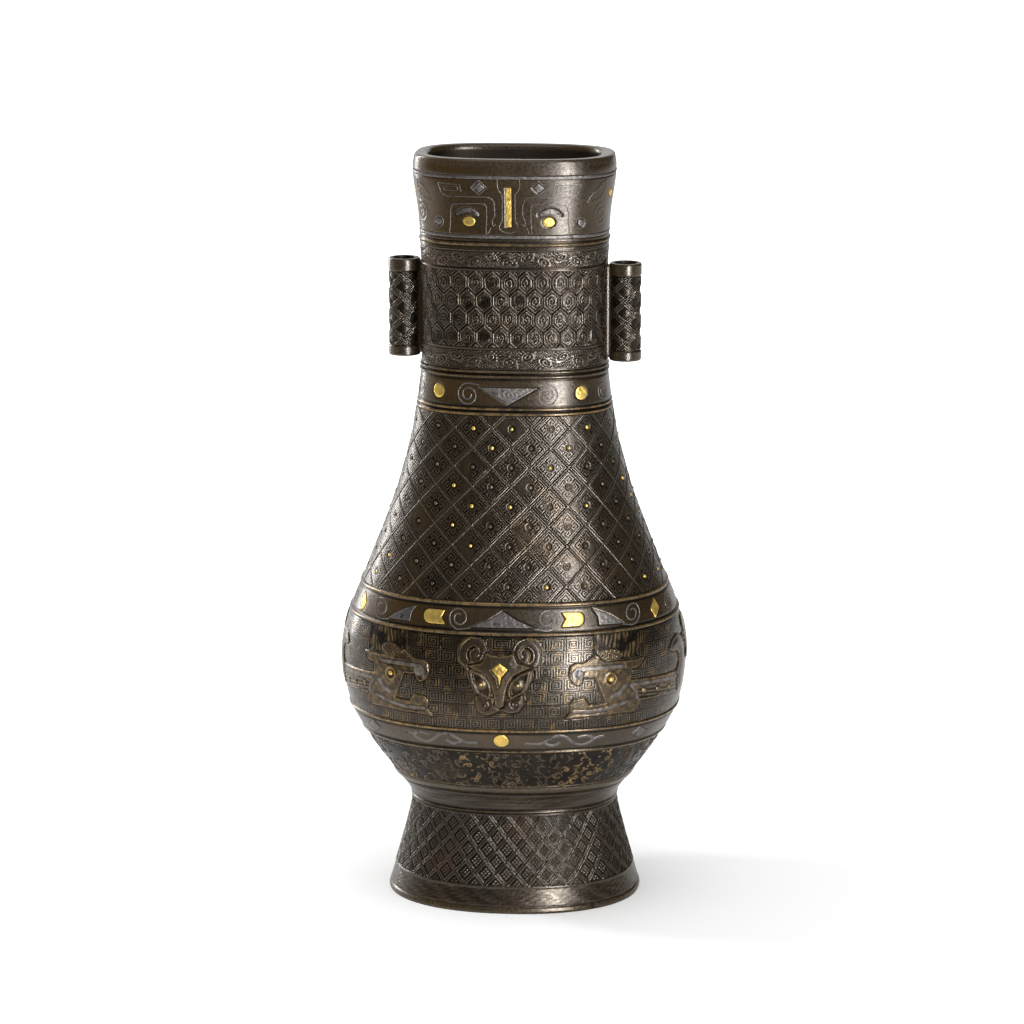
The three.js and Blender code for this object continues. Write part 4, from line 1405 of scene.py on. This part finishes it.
class VASE_OT_lozenge_field(VaseOperator, bpy.types.Operator):
    """Builds the field of lozenges over the shoulder"""

    bl_idname = "vase.lozenge_field"
    bl_label = "Lozenge field"

    def execute(self, context):
        heights = rows_between(FIELD_FROM, NECK_BAND_FROM, self.fine)
        lining = [(z, WALL) for z in (NECK_BAND_FROM, 185, 170, 155, 142, FIELD_FROM)]
        band("lozenge_field", heights, columns_for(155, self.fine), field_shape, lining, 4, self.bronze)
        return {"FINISHED"}


class VASE_OT_frieze(VaseOperator, bpy.types.Operator):
    """Builds the belly's frieze with its mask and dragons"""

    bl_idname = "vase.frieze"
    bl_label = "Belly frieze"

    def execute(self, context):
        heights = rows_between(FRIEZE_FROM, SHOULDER_FROM, self.fine)
        lining = [(z, WALL) for z in (SHOULDER_FROM, 104, 92, FRIEZE_FROM)]
        band("belly_frieze", heights, columns_for(98, self.fine), frieze_shape, lining, 4, self.bronze)
        return {"FINISHED"}


class VASE_OT_lower_body(VaseOperator, bpy.types.Operator):
    """Builds the wave band under the belly, the stem and the foot"""

    bl_idname = "vase.lower_body"
    bl_label = "Wave band, stem and foot"

    def execute(self, context):
        heights = rows_between(WAVES_FROM, LOWER_PLAIN_FROM, 0.32)
        lining = [(LOWER_PLAIN_FROM, WALL), (60, WALL), (54, WALL), (WAVES_FROM, 4.9)]
        band("wave_band", heights, columns_for(62, 0.32), wave_band_shape, lining, 2, self.bronze)
        heights = rows_between(STEM_FROM, WAVES_FROM, 0.4, (39.2, 45.8, 50.6))
        lining = [(WAVES_FROM, 4.9), (48, 7), (45.5, 7), (45.5, WALL), (41, WALL), (STEM_FROM, WALL)]
        band("stem", heights, columns_for(45, 0.4), stem_shape, lining, 1, self.bronze)
        heights = rows_between(0.0, STEM_FROM, 0.33, (3.5,))
        lining = [(STEM_FROM, WALL), (28, WALL), (18, WALL), (8, 4.5), (0.8, 4.6), (0.0, 4.2)]
        band("foot", heights, columns_for(18, 0.33), foot_shape, lining, 2, self.bronze)
        return {"FINISHED"}


def tube_form(side, base):
    """Grids of one lug: the outside with its lattice, then the bore"""
    radius, bore, length = TUBE["radius"], TUBE["bore"], TUBE["length"]
    rows, around = 128, 150
    z = np.linspace(0, length, rows)[:, None]
    turn = (2 * math.pi * np.arange(around) / around)[None, :]
    u, v = np.broadcast_arrays(turn * radius, z)
    r = Relief(u.copy(), v.copy(), np.full(u.shape, math.pi * radius))
    ground(r, -0.3)
    a, b = math.pi * radius / 4, 4.25
    x, y = r.u, r.z - length / 2
    across, along = (x / a + y / b + 1) % 2 - 1, (y / b - x / a + 1) % 2 - 1
    reach = a * b / math.hypot(a, b)
    edge = (1 - np.maximum(np.abs(across), np.abs(along))) * reach
    r.cover(np.ones(edge.shape), -0.26 + 0.03 * waves(r.u, r.z, 1.3, 51), wear=0.15, grime=0.8)
    r.trace(edge / 0.8 + 0.5, 1.0 * (edge < 1.15), 0.1, -0.16, wear=0.9, grime=0)
    for low, high in ((-1, 4.0), (length - 4.9, length + 1)):
        inside = ease(low, low + 0.3, r.z) * ease(-high, -high + 0.3, -r.z)
        r.cover(inside, 0.22, grime=0, wear=0.45)
    r.cover(bead(r.z - 4.2, 0.25), -0.25, grime=1)
    r.cover(bead(r.z - length + 5.1, 0.25), -0.25, grime=1)
    r.add(1 - ease(0, 0.5, r.z), -0.3)
    r.add(ease(length - 0.6, length, r.z), -0.35)
    wide = radius + r.height
    outer = np.stack([side * TUBE["x"] + wide * np.cos(turn), wide * np.sin(turn), base + r.z], axis=2)

    def hoop(z, size):
        turn_row = turn[0]
        return np.stack([side * TUBE["x"] + size * np.cos(turn_row), size * np.sin(turn_row),
                         np.full(around, base + z)], axis=1)

    inner = np.array([hoop(length, bore + 0.25), hoop(length - 0.4, bore), hoop(length * 0.6, bore),
                      hoop(length * 0.25, bore), hoop(0.3, bore), hoop(0, bore + 0.2)])
    return [outer, inner], r.marks


class VASE_OT_lugs(VaseOperator, bpy.types.Operator):
    """Builds the two tubular lugs beside the neck, and the webs that hold them"""

    bl_idname = "vase.lugs"
    bl_label = "Tubular lugs"

    def execute(self, context):
        for label, side in (("left", -1), ("right", 1)):
            base = TUBE[label]
            grids, marks = tube_form(side, base)
            mesh = shell(f"lug_{label}", grids, marks)
            piece(f"lug_{label}", mesh, self.bronze, "patinated_bronze", f"arrow_tube_{label}")
            rows = []
            middle, half = base + TUBE["length"] / 2, TUBE["web"] / 2
            for out, spread in ((0, 1.35), (0.7, 1.1), (1.6, 0.95), (2.4, 1.0), (3.2, 1.25)):
                turn = np.linspace(0, 2 * math.pi, 64, endpoint=False)
                y = side * 2.3 * spread * np.sign(np.cos(turn)) * np.abs(np.cos(turn)) ** 0.4
                z = half * np.sign(np.sin(turn)) * np.abs(np.sin(turn)) ** 0.18
                rows.append(np.stack([np.full(64, side * (36.0 + out)), y, z + middle], axis=1))
            piece(f"web_{label}", joined_mesh(f"web_{label}", [(rows, capped(rows))]), self.bronze,
                  "patinated_bronze")
        return {"FINISHED"}


class VASE_OT_inlays(VaseOperator, bpy.types.Operator):
    """Builds the plates of gold and silver that are let into the bronze"""

    bl_idname = "vase.inlays"
    bl_label = "Gold and silver plates"

    def execute(self, context):
        groups = [("mouth", MOUTH_PLATES, 0.0), ("neck", NECK_PLATES, 0.0), ("shoulder", SHOULDER_PLATES, 0.0),
                  ("mask", MASK_PLATES, 1.15), ("lower", LOWER_PLATES, 0.0)]
        for label, group, lift in groups:
            for metal in ("gold", "silver"):
                mine = [row for row in group if row[1] == metal]
                if not mine:
                    continue
                forms, nodes = [], []
                for name, _, u, z, outline in mine:
                    for turned, face in ((False, "front"), (True, "back")):
                        forms.append(plate_form(outline, u, z, turned, lift))
                        if f"{name}_{face}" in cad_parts:
                            nodes.append(f"{name}_{face}")
                name, slot = f"{metal}_plates_{label}", f"{metal}_inlay"
                piece(name, joined_mesh(name, forms, 50), material_of(slot), slot, *nodes)
        return {"FINISHED"}


HORN_WIRE = curved([(-24.8, 285.2), (-13.8, 285.3), (-8.6, 285.3), (-6.6, 284.5), (-5.7, 282.8), (-5.5, 278.2),
                    (-6.4, 275.9), (-6.1, 273.9), (-5.1, 274.8)])
MOUTH_WIRES = [
    curved([(-4.3, 292.2), (-4.4, 290.2), (-3.8, 288.0), (-2.7, 286.5), (-2.5, 284.0), (-2.6, 276.6),
            (-3.3, 274.8), (-3.7, 273.4), (-2.9, 272.1), (-1.5, 271.4), (0, 271.2)]),
    HORN_WIRE,
    [(-28.7, 290.4), (-24.3, 290.1), (-19.2, 290.0), (-18.8, 287.2)],
    curved([(-28.7, 290.4), (-27.5, 287.2), (-26.4, 285.9), (-24.8, 285.3)]),
    [(-26.0, 287.6), (-26.0, 289.2), (-20.2, 289.1), (-20.1, 287.6), (-26.0, 287.6)],
    curved([(-23.8, 270.6), (-23.4, 275.0), (-23.2, 279.4), (-22.4, 281.7), (-20.3, 282.3), (-10.9, 282.7),
            (-9.1, 282.0), (-8.7, 280.6), (-8.7, 275.7), (-8.9, 271.4), (-8.1, 270.9), (-7.0, 273.3)]),
    [(-11.7, 291.9), (-8.4, 289), (-11.7, 286.1), (-15.0, 289), (-11.7, 291.9)],
    spiral(-28.6, 274.9, 2.1, 2.1, 1, 0),
    curved([(-31.4, 282.8), (-33.2, 285.4), (-36.5, 288.0), (-40.4, 289.6)]),
]
# The neck's spirals, of which the two beside the triangle run on to its corners
NECK_WIRES = [
    [(-11.6, 210.9), (-16.2, 211.6), *spiral(-16.2, 207, 4.6, 1.2, 1.8, math.pi / 2)[1:]],
    [(11.6, 210.9), (15.1, 211.6), *spiral(15.1, 207, 4.6, 1.2, -1.8, math.pi / 2)[1:]],
    spiral(-41, 207.4, 4.2, 1.2, 1.8, math.pi / 2),
    spiral(41, 207.4, 4.2, 1.2, -1.8, math.pi / 2),
]
# The shoulder's spirals on the right: u of the middle, and u of the plate's corner that the wire runs to
SHOULDER_SPIRALS = ((17.4, 12.6), (53.4, 48.6), (78.9, None))
# A cloud scroll round its own middle, and where the left one sits
CLOUD = [
    curved([(-16, 1.1), (-12.6, 0.5), (-9.4, -1.5), (-6, -2.2), (-3, -0.7), (0, 1.9), (3.6, 2.2), (7, 0.4),
            (10.4, -1.2), (16, -1)]),
    curved([(-11.6, 0.1), (-10, 1.5), (-7.5, 1.7), (-5, 1.2)]),
    curved([(8.4, -0.6), (6.8, -1.8), (4.4, -1.9), (2, -0.4)]),
]
CLOUD_PLACE = (-24.8, 74)


def mirrored(paths):
    """Paths and their copies on the other side of the face's middle"""
    return paths + [flipped(path) for path in paths]


def paired_nodes(name):
    """Names of the four CAD nodes of an ornament that stands left and right on both faces"""
    return [f"{name}_{side}_{face}" for side in ("left", "right") for face in ("front", "back")]


def wire_piece(name, paths, out, radius, *nodes):
    """A piece of silver wires along (u, z) paths, on both faces"""
    piece(name, wires(name, paths, out, radius), material_of("silver_inlay"), "silver_inlay", *nodes)


class VASE_OT_wires(VaseOperator, bpy.types.Operator):
    """Builds the silver wires of the mouth mask, the spirals and the cloud scrolls"""

    bl_idname = "vase.wires"
    bl_label = "Silver wires"

    def execute(self, context):
        radius = context.scene.vase_sizes.wire_radius / MM
        wire_piece("silver_wires_mouth", mirrored(MOUTH_WIRES), -0.1, radius * 0.65)
        wire_piece("silver_wires_neck", NECK_WIRES, -0.2, radius)
        shoulder = []
        for u, corner in SHOULDER_SPIRALS:
            path = spiral(u, 122.7, 4.3, 1.3, 1.6, -math.pi / 2)
            if corner:
                path = [(corner, 119.2), *path]
            shoulder += [flipped(path), path]
        nodes = paired_nodes("silver_inner_spiral") + paired_nodes("silver_outer_spiral")
        wire_piece("silver_wires_shoulder", shoulder, -0.2, radius, *nodes)
        scrolls = mirrored([shifted(path, *CLOUD_PLACE) for path in CLOUD])
        wire_piece("silver_cloud_scrolls", scrolls, -1.28, 1.5, *paired_nodes("silver_cloud_scroll"))
        return {"FINISHED"}


class VASE_OT_studs(VaseOperator, bpy.types.Operator):
    """Builds the studs in the lozenges and the gold beads of the eyes"""

    bl_idname = "vase.studs"
    bl_label = "Studs and beads"

    def execute(self, context):
        radius = context.scene.vase_sizes.stud_radius / MM
        a, b = LOZENGE
        draw = np.random.default_rng(12)
        gilt, dull = [], []
        for row in range(9):
            z = FIELD_TOP_ROW - row * b
            quarter = float(WALL_TABLE.quarter_at(z))
            count = int(quarter / a) + 1
            for k in range(-count, count + 1):
                if (k + row) % 2:
                    continue
                u = k * a
                # The field's shift fades with u itself, so a few rounds settle it
                for _ in range(4):
                    u = k * a + FIELD_SHIFT * (1 - float(ease(0.5, 1, abs(u) / quarter)))
                if abs(u) < quarter - 0.5:
                    (gilt if draw.uniform() < 0.25 else dull).append((u, z))
        mesh = studs("gold_studs", gilt, radius, 0.6, "gold_inlay", GROUND + 0.05)
        piece("gold_studs", mesh, material_of("gold_inlay"), "gold_inlay")
        mesh = studs("bronze_studs", dull, radius, 0.6, "patinated_bronze", GROUND + 0.05)
        for mark, value in (("gilt", 0.35), ("wear", 1.0)):
            layer = mesh.attributes.new(mark, "FLOAT", "POINT")
            layer.data.foreach_set("value", np.full(len(mesh.vertices), value, np.float32))
        piece("bronze_studs", mesh, self.bronze, "patinated_bronze")
        eyes = [(DRAGON_CENTRE + DRAGON_EYE[0], DRAGON_EYE[1]), (DRAGON_CENTRE - DRAGON_EYE[0], DRAGON_EYE[1])]
        name = "gold_beads_dragons"
        piece(name, studs(name, eyes, 1.05, 0.8, "gold_inlay", 0.1), material_of("gold_inlay"), "gold_inlay")
        eyes = [(FACE_CENTRE - 7.2, 97.8), (FACE_CENTRE + 7.2, 97.8)]
        name = "gold_beads_mask"
        piece(name, studs(name, eyes, 0.62, 0.8, "gold_inlay", 1.0), material_of("gold_inlay"), "gold_inlay")
        return {"FINISHED"}


class VASE_OT_base_plate(VaseOperator, bpy.types.Operator):
    """Gives the plate that closes the vessel above its hollow foot its bronze"""

    bl_idname = "vase.base_plate"
    bl_label = "Base plate"

    def execute(self, context):
        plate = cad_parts["base_plate"]
        plate.data.materials.clear()
        plate.data.materials.append(self.bronze)
        return {"FINISHED"}


def softbox(name, azimuth, elevation, distance, size, power, target=0.16):
    """An area lamp at a distance from the vase, aimed at a height on its middle line"""
    a, e = math.radians(azimuth), math.radians(elevation)
    data = bpy.data.lights.new(name, "AREA")
    data.shape = "RECTANGLE"
    data.size, data.size_y = size
    data.energy = power
    lamp = bpy.data.objects.new(name, data)
    bpy.context.scene.collection.objects.link(lamp)
    lamp.location = (distance * math.sin(a) * math.cos(e), -distance * math.cos(a) * math.cos(e),
                     target + distance * math.sin(e))
    lamp.rotation_euler = (math.pi / 2 - e, 0, a)
    lamp.visible_camera = False
    return lamp


# Sides of the floor. It ends a little before the vase, so that the wall mirrors the dim room there.
FLOOR_SIDE = 4
FLOOR_FRONT = -0.34
FLOOR_BACK = 5
# Strength of the plain light from all round
PLAIN_LIGHT = 0.9


def pale_floor(scene):
    """A pale floor that takes the shadow, and glows to the camera away from the vase"""
    mesh = bpy.data.meshes.new("floor")
    corners = [(-FLOOR_SIDE, FLOOR_FRONT, 0), (FLOOR_SIDE, FLOOR_FRONT, 0), (FLOOR_SIDE, FLOOR_BACK, 0),
               (-FLOOR_SIDE, FLOOR_BACK, 0)]
    mesh.from_pydata(corners, [], [(0, 1, 2, 3)])
    floor = bpy.data.objects.new("floor", mesh)
    scene.collection.objects.link(floor)
    paint = bpy.data.materials.new("pale_floor")
    tree = cleared(paint)
    place = add_node(tree, "ShaderNodeTexCoord").outputs["Object"]
    away = add_node(tree, "ShaderNodeVectorMath", {0: place}, operation="LENGTH").outputs["Value"]
    fade = {"Value": away, "From Min": 0.25, "From Max": 0.6, "To Min": 0.17}
    share = add_node(tree, "ShaderNodeMapRange", fade).outputs["Result"]
    seen = add_node(tree, "ShaderNodeLightPath").outputs["Is Camera Ray"]
    strength = add_node(tree, "ShaderNodeMath", {0: share, 1: seen}, operation="MULTIPLY").outputs[0]
    white = add_node(tree, "ShaderNodeBsdfDiffuse", {"Color": (0.9, 0.9, 0.9, 1)}).outputs[0]
    glow = add_node(tree, "ShaderNodeEmission", {"Strength": strength}).outputs[0]
    both = add_node(tree, "ShaderNodeAddShader", {0: white, 1: glow}).outputs[0]
    add_node(tree, "ShaderNodeOutputMaterial", {"Surface": both})
    mesh.materials.append(paint)


def backdrop(scene):
    """White to the camera; what the metal mirrors is white behind to the left, and dim elsewhere"""
    world = bpy.data.worlds.new("studio")
    scene.world = world
    tree = cleared(world)
    ray = add_node(tree, "ShaderNodeLightPath").outputs
    direction = add_node(tree, "ShaderNodeTexCoord").outputs["Generated"]
    aim = {0: direction, 1: (-0.6, 0.8, 0)}
    toward = add_node(tree, "ShaderNodeVectorMath", aim, operation="DOT_PRODUCT").outputs["Value"]
    fade = {"Value": toward, "From Min": 0.5, "From Max": 0.8, "To Min": 0.04}
    room = add_node(tree, "ShaderNodeMapRange", fade).outputs["Result"]
    straight = {0: ray["Is Camera Ray"], 1: ray["Is Transmission Ray"]}
    seen = add_node(tree, "ShaderNodeMath", straight, operation="MAXIMUM").outputs[0]
    around = {"Factor": ray["Is Glossy Ray"], "A": PLAIN_LIGHT, "B": room}
    unseen = add_node(tree, "ShaderNodeMix", around).outputs["Result"]
    level = add_node(tree, "ShaderNodeMix", {"Factor": seen, "A": unseen, "B": 1.0}).outputs["Result"]
    glow = add_node(tree, "ShaderNodeBackground", {"Color": (1, 1, 1, 1), "Strength": level}).outputs[0]
    add_node(tree, "ShaderNodeOutputWorld", {"Surface": glow})


def lamps():
    """Strips that only gleam, a broad lamp above, and one without gleam that throws the shadow"""
    softbox("key", 29, 19, 1.45, (0.15, 1.2), 18).visible_diffuse = False
    softbox("low", 29, -1, 0.85, (0.14, 0.5), 6, 0.03).visible_diffuse = False
    softbox("rim_left", -128, 14, 1.35, (0.2, 1.2), 11).visible_diffuse = False
    softbox("top", 0, 78, 1.5, (0.9, 0.7), 3)
    softbox("side", -98, 40, 1.4, (0.2, 0.2), 6).visible_glossy = False


def front_camera(scene):
    """The camera, a little above the vase and to its right"""
    data = bpy.data.cameras.new("camera")
    data.lens = 149.8
    data.sensor_width = 36
    data.clip_start, data.clip_end = 0.05, 50
    camera = bpy.data.objects.new("camera", data)
    scene.collection.objects.link(camera)
    camera.location = (0.1530, -1.6610, 0.5198)
    camera.rotation_euler = (math.radians(77.65), 0, math.radians(5.3))
    scene.camera = camera


class VASE_OT_stage(bpy.types.Operator):
    """Builds the pale floor, the white background, the lamps and the camera"""

    bl_idname = "vase.stage"
    bl_label = "Stage"
    bl_options = {"REGISTER"}

    def execute(self, context):
        context.scene.view_settings.view_transform = "Standard"
        pale_floor(context.scene)
        backdrop(context.scene)
        lamps()
        front_camera(context.scene)
        return {"FINISHED"}


OPERATORS = (
    VASE_OT_mouth, VASE_OT_neck, VASE_OT_plain_bands, VASE_OT_lozenge_field, VASE_OT_frieze,
    VASE_OT_lower_body, VASE_OT_lugs, VASE_OT_inlays, VASE_OT_wires, VASE_OT_studs, VASE_OT_base_plate,
    VASE_OT_stage,
)


class VASE_PT_panel(bpy.types.Panel):
    """Lists the vase's operators and settings"""

    bl_idname = "VASE_PT_panel"
    bl_label = "Arrow vase"
    bl_space_type = "VIEW_3D"
    bl_region_type = "UI"
    bl_category = "Arrow vase"

    def draw(self, context):
        for operator in OPERATORS:
            self.layout.operator(operator.bl_idname)
        for group in (context.scene.vase_sizes, context.scene.vase_colours):
            box = self.layout.box()
            for name in group.__annotations__:
                box.prop(group, name)


CLASSES = (VaseColours, VaseSizes, *OPERATORS, VASE_PT_panel)


def register():
    for cls in CLASSES:
        bpy.utils.register_class(cls)
    bpy.types.Scene.vase_colours = bpy.props.PointerProperty(type=VaseColours)
    bpy.types.Scene.vase_sizes = bpy.props.PointerProperty(type=VaseSizes)


def unregister():
    del bpy.types.Scene.vase_sizes
    del bpy.types.Scene.vase_colours
    for cls in reversed(CLASSES):
        bpy.utils.unregister_class(cls)


def main():
    register()
    for operator in OPERATORS:
        group, name = operator.bl_idname.split(".")
        getattr(getattr(bpy.ops, group), name)()


if __name__ == "__main__":
    main()
